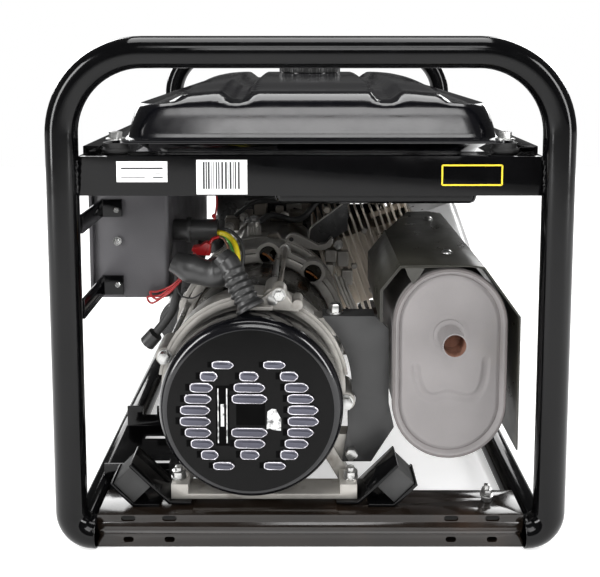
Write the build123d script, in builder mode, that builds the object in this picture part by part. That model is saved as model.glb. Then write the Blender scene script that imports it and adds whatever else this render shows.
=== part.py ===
from build123d import *
import math
import os

os.makedirs("parts", exist_ok=True)

# ---------------------------------------------------------------- driving dimensions (mm)
tube_r = 16.0                       # frame tube radius
tube_wall = 2.2
hoop_x, hoop_y, hoop_top = 249.0, 324.0, 516.0
hoop_corner_r, hoop_foot_r = 82.0, 25.0
rail_x = 235.0
beam_end = 222.0                    # base beams close the hoops between x = -222 and 222
beam_face, beam_back, beam_top = 326.0, 283.0, 35.0
crossbar_face, crossbar_back = 325.0, 290.0
crossbar_lo, crossbar_hi = 372.0, 412.0
crossbar_half = hoop_x - tube_r
crank_x, crank_z = -62.0, 149.0     # crankshaft and alternator axis
lean = 20.0                         # cylinder lean above horizontal, degrees
engine_y = 50.0                     # cylinder centre plane
fin_pitch, fin_t = 9.6, 3.0
foot_x = (-142.0, 44.0)             # foot studs left and right
foot_z = 41.0
mount_ys = (-294.0, 176.0)          # mount planes under the alternator and the engine
pad_tops = (16.0, 7.0)              # height of the foot pads over foot_z at those planes
cover_z, cover_r = 144.0, 97.0     # the pressed cover hangs a little below the shaft
bolt_pcd_r = 103.0
bolt_angles = (160.0, 78.0, -9.0, -100.0)
stator_r, stator_bore = 92.0, 62.0
shaft_r = 12.5
bearing_fit = 0.03                  # radial running clearance
cover_front, cover_edge = -320.0, -284.0
muffler_x, muffler_z = 148.5, 185.0
muffler_w, muffler_h = 122.0, 208.0
muffler_front, muffler_rear = -300.0, -110.0
outlet_x, outlet_z, outlet_r = 147.0, 218.0, 13.0
tank_x = 2.0
tank_flange_z = 424.0
cap_y = -10.0

cu, su = math.cos(math.radians(lean)), math.sin(math.radians(lean))


def save(shape, name):
    shape.label = name
    export_step(shape, "parts/" + name + ".step")


def strip(points, t):
    """Closed outline of a bent sheet: the open polyline `points` thickened by t on its left side."""
    off = []
    n = len(points)
    for i in range(n):
        dirs = []
        if i > 0:
            dirs.append((points[i][0] - points[i - 1][0], points[i][1] - points[i - 1][1]))
        if i < n - 1:
            dirs.append((points[i + 1][0] - points[i][0], points[i + 1][1] - points[i][1]))
        normals = []
        for dx, dy in dirs:
            length = math.hypot(dx, dy)
            normals.append((-dy / length, dx / length))
        nx = sum(v[0] for v in normals)
        ny = sum(v[1] for v in normals)
        length = math.hypot(nx, ny)
        nx, ny = nx / length, ny / length
        k = t / (nx * normals[0][0] + ny * normals[0][1])
        off.append((points[i][0] + nx * k, points[i][1] + ny * k))
    return points + off[::-1]


def prism(points, direction):
    return Solid.extrude(Face(Wire.make_polygon(points)), Vector(*direction))


def xz_prism(outline, y0, y1):
    """Solid with an outline in X and Z, between two Y planes."""
    return prism([(x, y0, z) for x, z in outline], (0, y1 - y0, 0))


def yz_prism(outline, x0, x1):
    """Solid with an outline in Y and Z, between two X planes."""
    return prism([(x0, y, z) for y, z in outline], (x1 - x0, 0, 0))


def rod(start, direction, r, length):
    """Cylinder from a start point along a direction."""
    return Solid.make_cylinder(r, length, Plane(origin=start, z_dir=direction))


def ycyl(x, z, r, y0, y1):
    """Cylinder along Y between two planes."""
    return rod((x, y0, z), (0, 1, 0), r, y1 - y0)


def xcyl(y, z, r, x0, x1):
    return rod((x0, y, z), (1, 0, 0), r, x1 - x0)


def zcyl(x, y, r, z0, z1):
    return rod((x, y, z0), (0, 0, 1), r, z1 - z0)


def ring_y(x, z, r_out, r_in, y0, y1):
    return ycyl(x, z, r_out, y0, y1) - ycyl(x, z, r_in, y0 - 1, y1 + 1)


def block(x0, x1, y0, y1, z0, z1):
    return Solid.make_box(x1 - x0, y1 - y0, z1 - z0, Plane(origin=(x0, y0, z0)))


def hexagon(af):
    r = af / math.sqrt(3)
    return [(r * math.cos(math.radians(60 * k)), r * math.sin(math.radians(60 * k))) for k in range(6)]


def hexy(x, z, af, y0, y1):
    """Hexagon prism along Y, af across flats."""
    return xz_prism([(x + a, z + b) for a, b in hexagon(af)], y0, y1)


def hexz(x, y, af, z0, z1):
    return prism([(x + a, y + b, z0) for a, b in hexagon(af)], (0, 0, z1 - z0))


def polar(r, deg):
    """Point at a radius and an angle round the crank axis, in X and Z."""
    return crank_x + r * math.cos(math.radians(deg)), crank_z + r * math.sin(math.radians(deg))


def vane(deg, r0, r1, y0, y1, half):
    """Radial blade round the crank axis: a thin box from r0 to r1, half its thickness each side."""
    c, s = math.cos(math.radians(deg)), math.sin(math.radians(deg))
    return xz_prism([(crank_x + c * r - s * t, crank_z + s * r + c * t)
                     for r, t in ((r0, -half), (r1, -half), (r1, half), (r0, half))], y0, y1)


def on_cyl(s, v):
    """Point s along the cylinder axis and v across it, in X and Z."""
    return crank_x + cu * s - su * v, crank_z + su * s + cu * v


def cyl_block(s0, s1, v0, v1, y0, y1):
    """Box aligned with the leaning cylinder."""
    return xz_prism([on_cyl(s0, v0), on_cyl(s1, v0), on_cyl(s1, v1), on_cyl(s0, v1)], y0, y1)


def cyl_round(s0, s1, r, v=0.0, y=engine_y):
    """Cylinder along the leaning cylinder axis."""
    x, z = on_cyl(s0, v)
    return rod((x, y, z), (cu, 0, su), r, s1 - s0)


def oval(x, z, w, h, y0, y1):
    """Upright oval prism: two half circles joined by straight sides."""
    body = block(x - w / 2, x + w / 2, y0, y1, z - (h - w) / 2, z + (h - w) / 2)
    return body + ycyl(x, z + (h - w) / 2, w / 2, y0, y1) + ycyl(x, z - (h - w) / 2, w / 2, y0, y1)


# ---------------------------------------------------------------- tube frame
hoop_path = FilletPolyline(
    [(-beam_end, -hoop_y, tube_r), (-hoop_x, -hoop_y, tube_r), (-hoop_x, -hoop_y, hoop_top),
     (hoop_x, -hoop_y, hoop_top), (hoop_x, -hoop_y, tube_r), (beam_end, -hoop_y, tube_r)],
    radius=[hoop_foot_r, hoop_corner_r, hoop_corner_r, hoop_foot_r])
hoop_start = Plane(origin=(-beam_end, -hoop_y, tube_r), x_dir=(0, 1, 0), z_dir=(-1, 0, 0))
hoop_core = sweep(hoop_start * Circle(tube_r), path=hoop_path)
hoop_bore = sweep(hoop_start * Circle(tube_r - tube_wall), path=hoop_path)

with BuildPart() as hoop_alternator_end:
    add(hoop_core)
    add(hoop_bore, mode=Mode.SUBTRACT)
save(hoop_alternator_end.part, "hoop_alternator_end")

with BuildPart() as hoop_starter_end:
    add(mirror(hoop_alternator_end.part, about=Plane.XZ))
save(hoop_starter_end.part, "hoop_starter_end")

hoop_both = hoop_core + mirror(hoop_core, about=Plane.XZ)
rail_tubes = []
for side in (-1, 1):
    tube = ycyl(side * rail_x, tube_r, tube_r, -318, 318)
    tube = tube - ycyl(side * rail_x, tube_r, tube_r - tube_wall, -320, 320) - hoop_both
    rail_tubes.append(max(tube.solids(), key=lambda part: part.volume))
with BuildPart() as base_rails:
    for tube in rail_tubes:
        add(tube)
save(base_rails.part, "base_rails")

# pressed base beams: front web with a rounded stiffening rib, deep top flange, back web, foot flange
web_t = 2.5
rail_solids = ycyl(-rail_x, tube_r, tube_r + 0.05, -330, 330) + ycyl(rail_x, tube_r, tube_r + 0.05, -330, 330)
beam_section = strip([(-300.0, 0.0), (-beam_face, 0.0), (-beam_face, 14.0), (-beam_face - 2.5, 16.5),
                      (-beam_face - 4.0, 20.5), (-beam_face - 2.5, 24.5), (-beam_face, 27.0),
                      (-beam_face, beam_top), (-beam_back, beam_top), (-beam_back, 1.0)], -web_t)
beam_solid = yz_prism(beam_section, -beam_end, beam_end) - rail_solids
slot_xs = (-190.0, -147.0, 147.0, 190.0)
for sx in slot_xs:
    for sz, half in ((8.0, 2.5), (31.0, 4.5)):
        beam_solid = beam_solid - block(sx - half, sx + half, -332, -321, sz - 3, sz + 3)
        beam_solid = beam_solid - ycyl(sx - half, sz, 3.0, -332, -321) - ycyl(sx + half, sz, 3.0, -332, -321)
beam_solid = beam_solid - zcyl(190, -300, 3.1, 30, 40)
engine_channel = yz_prism(strip([(150.0, 2.0), (150.0, beam_top), (202.0, beam_top), (202.0, 2.0)], -web_t),
                          -beam_end, beam_end) - rail_solids
beam_far = mirror(beam_solid, about=Plane.XZ)
with BuildPart() as base_beams:
    add(beam_solid)
    add(beam_far)
    add(engine_channel)
save(base_beams.part, "base_beams")

# crossbars that carry the tank, welded between the legs
bar_section = strip([(-crossbar_back, crossbar_hi), (-crossbar_face, crossbar_hi),
                     (-crossbar_face, crossbar_lo), (-crossbar_back - 14, crossbar_lo)], web_t)
leg_cut = zcyl(-hoop_x, -hoop_y, tube_r + 0.05, 300, 480) + zcyl(hoop_x, -hoop_y, tube_r + 0.05, 300, 480)
bar_solid = yz_prism(bar_section, -crossbar_half, crossbar_half) - leg_cut
for bx in (-201, 201):
    bar_solid = bar_solid - zcyl(bx, -300, 4.1, 405, 416)
bar_far = mirror(bar_solid, about=Plane.XZ)
with BuildPart() as tank_crossbars:
    add(bar_solid)
    add(bar_far)
save(tank_crossbars.part, "tank_crossbars")

# side rails: angle iron lying on the crossbars, deeper between them
with BuildPart() as side_rails:
    for side in (-1, 1):
        for x0, x1, y, z0, z1 in ((216, 233, 307, 417.5, 420), (230.5, 233, 307, 412.05, 417.5),
                                  (230.5, 233, 289.9, 384, 412.05)):
            add(block(min(side * x0, side * x1), max(side * x0, side * x1), -y, y, z0, z1))
save(side_rails.part, "side_rails")

# battery tray with upstands and a strap forward to the near beam
with BuildPart() as battery_tray:
    add(block(-236, -30, -254, -141, 32, 34))
    add(block(-234, -160, -143, -141, 34, 60))
    add(block(-234, -160, -254, -252, 34, 48))
    add(block(-70, -30, -282.9, -254, 32, 34))
    for ty in (-225, -170):
        add(block(-205, -165, ty - 4, ty + 4, 30, 36), mode=Mode.SUBTRACT)
    add(block(-214, -196, -144, -140, 48, 62), mode=Mode.SUBTRACT)
save(battery_tray.part, "battery_tray")

# ---------------------------------------------------------------- inclined rubber mounts
# the block sits square to a 45 degree slope, between a plate on the beam and a plate under the foot
mid_x = (foot_x[0] + foot_x[1]) / 2
mount_c = (90.7, 58.5)
slope = math.sqrt(0.5)
block_u, block_n = 30.0, 26.0


def mount_point(u, n):
    return mount_c[0] + slope * (u - n), mount_c[1] + slope * (u + n)


low_line = mount_point(17, -block_n / 2)
top_line = mount_point(17, block_n / 2)
low_x = low_line[0] - (low_line[1] - 38.0)
top_knee = top_line[0] - (top_line[1] - (foot_z - 3.0))
lower_plate = strip([low_line, (low_x, 38.0), (62.0, 38.0)], 3.0)
upper_plate = strip([(28.0, foot_z - 3.0), (top_knee, foot_z - 3.0), top_line], 3.0)
rubber_outline = [mount_point(-15, -13), mount_point(15, -13), mount_point(15, 13), mount_point(-15, 13)]


def four_mounts(outline, half):
    shapes = []
    for my in mount_ys:
        right = xz_prism(outline, my - half, my + half)
        left = xz_prism([(2 * mid_x - x, z) for x, z in outline], my - half, my + half)
        shapes += [right, left]
    return shapes


with BuildPart() as rubber_mounts:
    for shape in four_mounts(rubber_outline, 17):
        add(shape)
    for bx in (-201, 201):
        for by in (-300, 300):
            add(zcyl(bx, by, 12, crossbar_hi, 423) - zcyl(bx, by, 4.1, 400, 430))
save(rubber_mounts.part, "rubber_mounts")

with BuildPart() as mount_plates:
    for shape in four_mounts(lower_plate, 19):
        add(shape)
    for shape in four_mounts(upper_plate, 19):
        add(shape)
    for my in mount_ys:
        for fx in foot_x:
            add(zcyl(fx, my, 4.05, 36, 43), mode=Mode.SUBTRACT)
save(mount_plates.part, "mount_plates")

# ---------------------------------------------------------------- alternator
cover_blank = ycyl(crank_x, cover_z, cover_r, cover_front, cover_edge)
cover_blank = fillet(cover_blank.edges().filter_by(GeomType.CIRCLE).sort_by(Axis.Y)[0], 11)
hollow = ycyl(crank_x, cover_z, cover_r - 2, cover_front + 2, cover_edge + 1)
hollow = fillet(hollow.edges().filter_by(GeomType.CIRCLE).sort_by(Axis.Y)[0], 9)
cover_solid = cover_blank - hollow
for row in range(10):
    z = cover_z - 4 + (4.5 - row) * 12.1
    reach = math.sqrt(max(72.0 ** 2 - ((4.5 - row) * 12.1) ** 2, 100.0))
    spans = [(-reach, -0.42 * reach), (-0.3 * reach, 0.3 * reach), (0.42 * reach, reach)]
    if row in (4, 5):
        spans = [spans[0], spans[2]]
    if row in (0, 9):
        spans = [(-0.72 * reach, -0.12 * reach), (0.12 * reach, 0.72 * reach)]
    for a, b in spans:
        cover_solid = cover_solid - block(crank_x + a + 3, crank_x + b - 3, cover_front - 1, cover_front + 3,
                                          z - 2.5, z + 0.5)
with BuildPart() as end_cover:
    add(cover_solid)
save(end_cover.part, "end_cover")

# end bell: ring, spider and hub, bolt ears, feet and two lugs for the muffler bracket
ring = ring_y(crank_x, crank_z, 101.0, 93.6, -276, -234.1)
spider = ring_y(crank_x, crank_z, 95.0, 26.0 + bearing_fit, -268, -260)
for k in range(6):
    wx, wz = polar(64, 30 + 60 * k)
    spider = spider - ycyl(wx, wz, 17, -275, -255)
bell = ring.fuse(spider, ring_y(crank_x, crank_z, 34.0, 26.0 + bearing_fit, -280, -257))
ears = [ycyl(*polar(bolt_pcd_r, ang), 10.0, -276, -234.1) for ang in bolt_angles]
foot_bar = block(-148, 50, -308, -279.9, foot_z, foot_z + 5.5)
pads = [block(x0, x1, -308, -279.9, foot_z, foot_z + pad_tops[0]) for x0, x1 in ((-148, -130), (32, 50))]
foot_parts = [foot_bar]
for fx, hx in ((-139, -118), (41, 10)):
    foot_parts.append(block(fx - 9, fx + 9, -280.1, -262, foot_z, foot_z + 7))
    foot_parts.append(xz_prism([(fx - 8, foot_z), (fx + 8, foot_z), (hx + 8, 94), (hx - 8, 94)], -276, -262))
foot_parts.append(block(-66, -34, -280.1, -262, foot_z, foot_z + 5.5))
foot_parts.append(block(-66, -34, -283.5, -262, foot_z, foot_z + 14))
lugs = [block(0, 44, -269.8, -250, 205, 224.9), block(14, 57, -269.8, -252, 64, 92)]
inside = ycyl(crank_x, crank_z, 97.5, -300, -230)
bell = bell.fuse(*[part - inside for part in ears + foot_parts[1:] + lugs], foot_bar, *pads)
for fx in foot_x:
    bell = bell - zcyl(fx, mount_ys[0], 4.05, foot_z - 1, foot_z + 18)
for ang in bolt_angles:
    bell = bell - ycyl(*polar(bolt_pcd_r, ang), 3.6, -300, -230)
bell = bell - zcyl(28, -261, 4.05, 200, 230) - ycyl(46, 73, 4.05, -280, -255)
bell = bell - ycyl(*polar(bolt_pcd_r, bolt_angles[3]), 10, -290, -276)
with BuildPart() as end_bell:
    add(bell)
save(end_bell.part, "end_bell")

with BuildPart() as rear_bearing:
    add(ring_y(crank_x, crank_z, 26.0, shaft_r + bearing_fit, -279, -264))
    add(ring_y(crank_x, crank_z, 22.0, 17.0, -280, -277), mode=Mode.SUBTRACT)
    add(ring_y(crank_x, crank_z, 22.0, 17.0, -266, -263), mode=Mode.SUBTRACT)
save(rear_bearing.part, "rear_bearing")

with BuildPart() as stator_core:
    add(ring_y(crank_x, crank_z, stator_r, stator_bore, -234, -118))
    for k in range(24):
        gx, gz = polar(stator_bore + 1, k * 15)
        add(ycyl(gx, gz, 2.6, -240, -110), mode=Mode.SUBTRACT)
save(stator_core.part, "stator_core")

with BuildPart() as stator_windings:
    for y0, y1 in ((-256, -234.1), (-117.9, -100)):
        add(ring_y(crank_x, crank_z, 86, 65, y0, y1))
    fillet(stator_windings.edges().filter_by(GeomType.CIRCLE), 5)
save(stator_windings.part, "stator_windings")

rotor_r = 60.8
with BuildPart() as rotor:
    add(ycyl(crank_x, crank_z, rotor_r, -232, -120))
    for side in (-1, 1):
        add(block(crank_x - 70, crank_x + 70, -240, -110, crank_z + side * 66 - 22, crank_z + side * 66 + 22),
            mode=Mode.SUBTRACT)
    add(ycyl(crank_x, crank_z, shaft_r, -240, -110), mode=Mode.SUBTRACT)
save(rotor.part, "rotor")

with BuildPart() as rotor_fan:
    add(ring_y(crank_x, crank_z, 72, shaft_r, -96, -92))
    for k in range(12):
        add(vane(30 * k, 36, 70, -92, -76, 1.2))
save(rotor_fan.part, "rotor_fan")

# adapter bell between stator and engine: near ring with ears, open cage, far flange
with BuildPart() as adapter_bell:
    add(ring_y(crank_x, crank_z, 104, 93.5, -118, -96))
    add(ring_y(crank_x, crank_z, 107, 78, -44, -30.1))
    wall = ring_y(crank_x, crank_z, 106, 99, -100, -40)
    add(wall)
    for ang in bolt_angles:
        px, pz = polar(bolt_pcd_r, ang)
        add(ycyl(px, pz, 11.0, -118, -88))
    for ang in (120, 62, 200, -20, -60, -140):
        add(vane(ang, 80, 120, -89, -51, 22), mode=Mode.SUBTRACT)
    for ang in (128, 52):
        wx, wz = polar(104, ang)
        add(ycyl(wx, wz, 12, -116, -96))
    add(ycyl(crank_x, crank_z, 93.5, -125, -96), mode=Mode.SUBTRACT)
    add(ycyl(crank_x, crank_z, 96, -96.5, -60), mode=Mode.SUBTRACT)
    for ang in bolt_angles:
        px, pz = polar(bolt_pcd_r, ang)
        add(ycyl(px, pz, 3.6, -130, -95), mode=Mode.SUBTRACT)
adapter_main = max(adapter_bell.part.solids(), key=lambda s: s.volume)
with BuildPart() as adapter_bell:
    add(adapter_main)
save(adapter_bell.part, "adapter_bell")

with BuildPart() as through_bolts:
    for ang in bolt_angles:
        px, pz = polar(bolt_pcd_r, ang)
        add(ycyl(px, pz, 3.5, -280, -97))
        add(ycyl(px, pz, 8.0, -277.6, -276.05))
        add(hexy(px, pz, 12, -283.5, -277.6))
save(through_bolts.part, "through_bolts")

# ribbed cable boot on the end bell, and the sleeve that enters the control box
boot_top = (-96.0, -258.0, 290.0)
boot_end = (-57.0, -262.0, 264.0)
boot_dir = Vector(boot_end[0] - boot_top[0], boot_end[1] - boot_top[1], boot_end[2] - boot_top[2])
boot_len = boot_dir.length
boot_dir = boot_dir.normalized()
with BuildPart() as cable_boot:
    for k in range(6):
        at = Vector(*boot_top) + boot_dir * (4 + k * (boot_len - 4) / 6)
        add(rod(at, boot_dir, 13.0 + 0.6 * k, 5.0))
    add(rod(boot_top, boot_dir, 11.5, boot_len))
    add(xcyl(-258, 290, 12, -150, -94))
    add(rod(boot_top, (-1, 0, 0), 14, 12))
save(cable_boot.part, "cable_boot")

with BuildPart() as cable_sleeve:
    add(xcyl(-200, 306, 12.5, -159.9, -108))
    add(xcyl(-200, 306, 15.0, -144, -139))
    add(xcyl(-200, 306, 9.0, -150, -100), mode=Mode.SUBTRACT)
save(cable_sleeve.part, "cable_sleeve")

# ---------------------------------------------------------------- engine
case_outline = [(-150, 62), (-136, 48), (12, 48), (26, 62), (26, 96), (8, 112), (0, 222), (-30, 246),
                (-96, 246), (-150, 200)]
case_y0, case_y1 = -30.0, 140.0
dip_dir = (-math.sin(math.radians(38)), 0, math.cos(math.radians(38)))


def dip_at(t):
    """Point at a distance t along the slanted filler hole of the crankcase."""
    return (-118 + dip_dir[0] * t, 20, 205 + dip_dir[2] * t)


with BuildPart() as crankcase:
    add(xz_prism(case_outline, case_y0, case_y1))
    fillet(crankcase.edges().filter_by(Axis.Y), 7)
    add(ycyl(crank_x, crank_z, 68, case_y0 + 12, case_y1 - 8), mode=Mode.SUBTRACT)
    add(ycyl(crank_x, crank_z, 20 + bearing_fit, case_y0 - 5, case_y1 + 5), mode=Mode.SUBTRACT)
    add(block(-148, 50, 157, 195, foot_z, foot_z + 7))
    add(block(-140, 34, 139, 160, foot_z, 53))
    add(block(-34, -8, 100, 118, 236, 270))
    add(ycyl(-20, 262, 4 + bearing_fit, 95, 125), mode=Mode.SUBTRACT)
    add(cyl_round(60, 100, 46), mode=Mode.SUBTRACT)
    for fx in foot_x:
        add(zcyl(fx, mount_ys[1], 4.05, foot_z - 1, foot_z + 8), mode=Mode.SUBTRACT)
    add(rod(dip_at(-30), dip_dir, 11, 60), mode=Mode.SUBTRACT)
    add(ycyl(crank_x, crank_z, 107.2, case_y0 - 20, case_y0 - 0.05), mode=Mode.SUBTRACT)
save(crankcase.part, "crankcase")

with BuildPart() as cylinder_block:
    add(cyl_block(98, 186, -50, 50, engine_y - 50, engine_y + 50))
    for k in range(9):
        s = 101 + k * fin_pitch
        add(cyl_block(s, s + fin_t, -62, 84, engine_y - 60, engine_y + 62))
    add(cyl_round(60, 240, 44), mode=Mode.SUBTRACT)
    add(xz_prism(case_outline, case_y0 - 1, case_y1 + 1), mode=Mode.SUBTRACT)
cylinder_main = max(cylinder_block.part.solids(), key=lambda s: s.volume)
with BuildPart() as cylinder_block:
    add(cylinder_main)
save(cylinder_block.part, "cylinder_block")

with BuildPart() as cylinder_head:
    add(cyl_block(186.1, 244, -48, 48, engine_y - 48, engine_y + 50))
    for k in range(6):
        s = 189.5 + k * fin_pitch
        add(cyl_block(s, s + fin_t, -61, 61, engine_y - 58, engine_y + 61))
        add(cyl_block(s, s + fin_t, 60, 80, engine_y - 58, engine_y + 20))
    for t in (-30, 0, 30, 64):
        add(cyl_block(187, 241, t, t + 7, engine_y - 54, engine_y - 46))
    add(cyl_round(180, 196, 40), mode=Mode.SUBTRACT)
    px, pz = on_cyl(214, -6)
    add(ycyl(px, pz, 12, engine_y - 70, engine_y - 20), mode=Mode.SUBTRACT)
    px, pz = on_cyl(214, 10)
    add(rod((px, engine_y + 20, pz), (-su, 0, cu), 11, 60), mode=Mode.SUBTRACT)
save(cylinder_head.part, "cylinder_head")

with BuildPart() as rocker_cover:
    add(cyl_block(244.1, 310, -44, 46, engine_y - 50, engine_y + 46))
    fillet(rocker_cover.edges().sort_by(Axis.X)[-6:], 12)
    add(cyl_block(244.1, 248, -50, 52, engine_y - 56, engine_y + 52))
    add(cyl_block(240, 305, -40, 42, engine_y - 46, engine_y + 42), mode=Mode.SUBTRACT)
save(rocker_cover.part, "rocker_cover")

with BuildPart() as piston:
    add(cyl_round(128, 178, 43.94))
    add(cyl_round(120, 172, 37), mode=Mode.SUBTRACT)
    for s in (170, 164, 158):
        add(cyl_round(s, s + 2, 45) - cyl_round(s - 1, s + 3, 42.6), mode=Mode.SUBTRACT)
save(piston.part, "piston")

throw = 24.0
with BuildPart() as crankshaft:
    add(ycyl(crank_x, crank_z, shaft_r, -283, case_y0 - 4))
    add(ycyl(crank_x, crank_z, 20.0, case_y0 - 4, case_y0 + 13))
    for y0, y1 in ((case_y0 + 13, case_y0 + 38), (case_y0 + 98, case_y0 + 123)):
        add(xz_prism([polar(58, a) for a in range(110, 251, 10)] + [polar(34, -60), polar(40, 0), polar(34, 60)],
                     y0, y1))
    add(ycyl(crank_x + throw, crank_z, 15, case_y0 + 38, case_y0 + 98))
    add(ycyl(crank_x, crank_z, 20.0, case_y0 + 123, case_y1 + 4))
    add(ycyl(crank_x, crank_z, 13.0, case_y1 + 4, 226))
save(crankshaft.part, "crankshaft")

with BuildPart() as flywheel:
    add(ring_y(crank_x, crank_z, 84, 13.0, 160, 184))
    add(ring_y(crank_x, crank_z, 74, 24, 168, 186), mode=Mode.SUBTRACT)
    for k in range(60):
        a0, a1 = 6 * k, 6 * k + 3
        add(xz_prism([polar(83, a0), polar(87, a0 + 0.7), polar(87, a1 - 0.7), polar(83, a1)], 160, 170))
    add(ring_y(crank_x, crank_z, 40, 13.0, 214.1, 217))
    add(ring_y(crank_x, crank_z, 40, 36, 216.9, 226))
    add(ring_y(crank_x, crank_z, 16, 13.0, 189.1, 214.2))
    for k in range(4):
        add(vane(45 + 90 * k, 30, 44, 218, 224, 5), mode=Mode.SUBTRACT)
save(flywheel.part, "flywheel")

with BuildPart() as flywheel_fan:
    add(ring_y(crank_x, crank_z, 84, 13.0, 186, 189))
    for k in range(18):
        add(vane(20 * k, 50, 83, 188.9, 214, 1.3))
save(flywheel_fan.part, "flywheel_fan")

duct = cyl_block(90, 140, 50, 72, 143, 228) - cyl_block(60, 150, 40, 69, 146, 225)
air_guide = xz_prism([(-150, 190), (-150, 288), (36, 300), (70, 270), (70, 225), (20, 190)], 143, 145)
air_guide = air_guide - ycyl(crank_x, crank_z, 92, 140, 150)
shroud = ring_y(crank_x, crank_z, 94, 90.5, 143, 226).fuse(ring_y(crank_x, crank_z, 92, 62, 224, 228),
                                                          duct - ycyl(crank_x, crank_z, 90.5, 100, 224.5),
                                                          air_guide)
with BuildPart() as blower_housing:
    add(max(shroud.solids(), key=lambda part: part.volume))
save(blower_housing.part, "blower_housing")

with BuildPart() as recoil_housing:
    add(ycyl(crank_x, crank_z, 80, 228.1, 280))
    fillet(recoil_housing.edges().filter_by(GeomType.CIRCLE).sort_by(Axis.Y)[-1], 16)
    add(ycyl(crank_x, crank_z, 76, 228, 262), mode=Mode.SUBTRACT)
    add(ycyl(crank_x, crank_z, 62, 228, 276), mode=Mode.SUBTRACT)
    for k in range(12):
        add(vane(30 * k, 30, 56, 270, 290, 4), mode=Mode.SUBTRACT)
    for k in range(16):
        add(vane(22.5 * k + 11, 70, 90, 236, 256, 5), mode=Mode.SUBTRACT)
    add(ycyl(crank_x, crank_z, 8, 255, 277))
save(recoil_housing.part, "recoil_housing")

with BuildPart() as recoil_pulley:
    add(ring_y(crank_x, crank_z, 56, 8 + bearing_fit, 240, 243))
    add(ring_y(crank_x, crank_z, 50, 8 + bearing_fit, 243, 253))
    add(ring_y(crank_x, crank_z, 56, 8 + bearing_fit, 253, 256))
    add(ycyl(crank_x, crank_z, 34, 230, 248), mode=Mode.SUBTRACT)
    add(ycyl(crank_x, crank_z, 8 + bearing_fit, 225, 270), mode=Mode.SUBTRACT)
save(recoil_pulley.part, "recoil_pulley")

handle_c = (-145.0, 262.0, 226.0)
grip = Pos(*handle_c) * Rot(0, -47, 0) * Box(74, 20, 15)
with BuildPart() as recoil_handle:
    add(grip)
    fillet(recoil_handle.edges(), 6)
save(recoil_handle.part, "recoil_handle")

with BuildPart() as starter_motor:
    add(ycyl(-189, 106, 34, 20, 132))
    add(ycyl(-189, 106, 36, 26, 34))
    add(ycyl(-189, 106, 27, 132, 141))
    add(ycyl(-189, 154, 17, 50, 112))
    add(block(-201, -177, 60, 100, 126, 148))
save(starter_motor.part, "starter_motor")

with BuildPart() as carburettor:
    add(block(91, 129, 128, 168, 267, 305))
    add(zcyl(110, 149, 17.5, 246, 269))
    add(ycyl(110, 286, 17, 112.1, 129))
    add(ycyl(110, 286, 13, 100, 180), mode=Mode.SUBTRACT)
save(carburettor.part, "carburettor")

with BuildPart() as choke_lever:
    add(xcyl(150, 292, 3, 129.3, 137))
    add(block(131, 134, 146, 154, 292, 322))
    add(xcyl(150, 322, 5.5, 130, 137))
save(choke_lever.part, "choke_lever")

with BuildPart() as air_filter_box:
    add(block(48, 176, 168.1, 262, 262, 346))
    fillet(air_filter_box.edges().filter_by(Axis.Z), 12)
    add(block(52, 172, 172, 258, 266, 347), mode=Mode.SUBTRACT)
    add(ycyl(110, 286, 13, 160, 175), mode=Mode.SUBTRACT)
save(air_filter_box.part, "air_filter_box")

with BuildPart() as air_filter_cover:
    add(block(46, 178, 166, 264, 346.1, 358))
    fillet(air_filter_cover.edges().filter_by(Axis.Z), 14)
    fillet(air_filter_cover.faces().sort_by(Axis.Z)[-1].edges(), 5)
save(air_filter_cover.part, "air_filter_cover")

with BuildPart() as fuel_valve:
    add(zcyl(60, 110, 9, 330, 352))
    add(zcyl(60, 110, 4, 350, 377.9))
    add(xcyl(110, 340, 6, 44, 60))
save(fuel_valve.part, "fuel_valve")

with BuildPart() as fuel_valve_lever:
    add(xcyl(110, 340, 5, 34, 43.7))
    add(block(34, 38, 106, 114, 312, 340))
save(fuel_valve_lever.part, "fuel_valve_lever")

plug_x, plug_z = on_cyl(216, 62)
with BuildPart() as spark_plug:
    add(rod((plug_x, 96, plug_z), (-su, 0, cu), 9, 31))
    add(rod((plug_x - su * 29, 96, plug_z + cu * 29), (-su, 0, cu), 11, 18))
save(spark_plug.part, "spark_plug")

wing = Plane(origin=dip_at(42), z_dir=dip_dir) * Box(24, 5, 9)
with BuildPart() as dipstick:
    add(rod(dip_at(24.1), dip_dir, 15, 14))
    add(rod(dip_at(-15), dip_dir, 10.9, 40))
    add(wing)
save(dipstick.part, "dipstick")

with BuildPart() as governor_arm:
    add(ycyl(-20, 262, 4, 118, 134))
    add(xz_prism([(-26, 258), (-14, 256), (-6, 306), (-14, 308)], 134, 136.5))
save(governor_arm.part, "governor_arm")

# ---------------------------------------------------------------- exhaust
with BuildPart() as muffler:
    shell = oval(muffler_x, muffler_z, muffler_w, muffler_h, muffler_front, muffler_rear)
    shell = shell - oval(muffler_x, muffler_z, muffler_w - 3, muffler_h - 3, muffler_front + 6, muffler_rear - 2)
    shell = shell - oval(muffler_x, muffler_z, muffler_w - 10, muffler_h - 10, muffler_front - 1,
                         muffler_front + 4)
    shell = shell - ycyl(outlet_x, outlet_z, outlet_r - 0.4, muffler_front - 5, muffler_front + 12)
    shell = shell - ycyl(139, 222, 14, muffler_rear - 10, muffler_rear + 5)
    add(shell)
save(muffler.part, "muffler")

with BuildPart() as exhaust_pipes:
    add(ycyl(outlet_x, outlet_z, outlet_r, -330, -299.9))
    add(ycyl(outlet_x, outlet_z, outlet_r + 3.5, -299.9, -296.02))
    add(ycyl(outlet_x, outlet_z, outlet_r - 0.5, -296.02, -294))
    add(ycyl(outlet_x, outlet_z, outlet_r - 1.5, -331, -293), mode=Mode.SUBTRACT)
    add(ycyl(139, 222, 14, -113, -14.2))
    add(block(118, 160, -14.3, -8.1, 206, 238))
    add(ycyl(139, 222, 11.5, -115, 0), mode=Mode.SUBTRACT)
save(exhaust_pipes.part, "exhaust_pipes")

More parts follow.
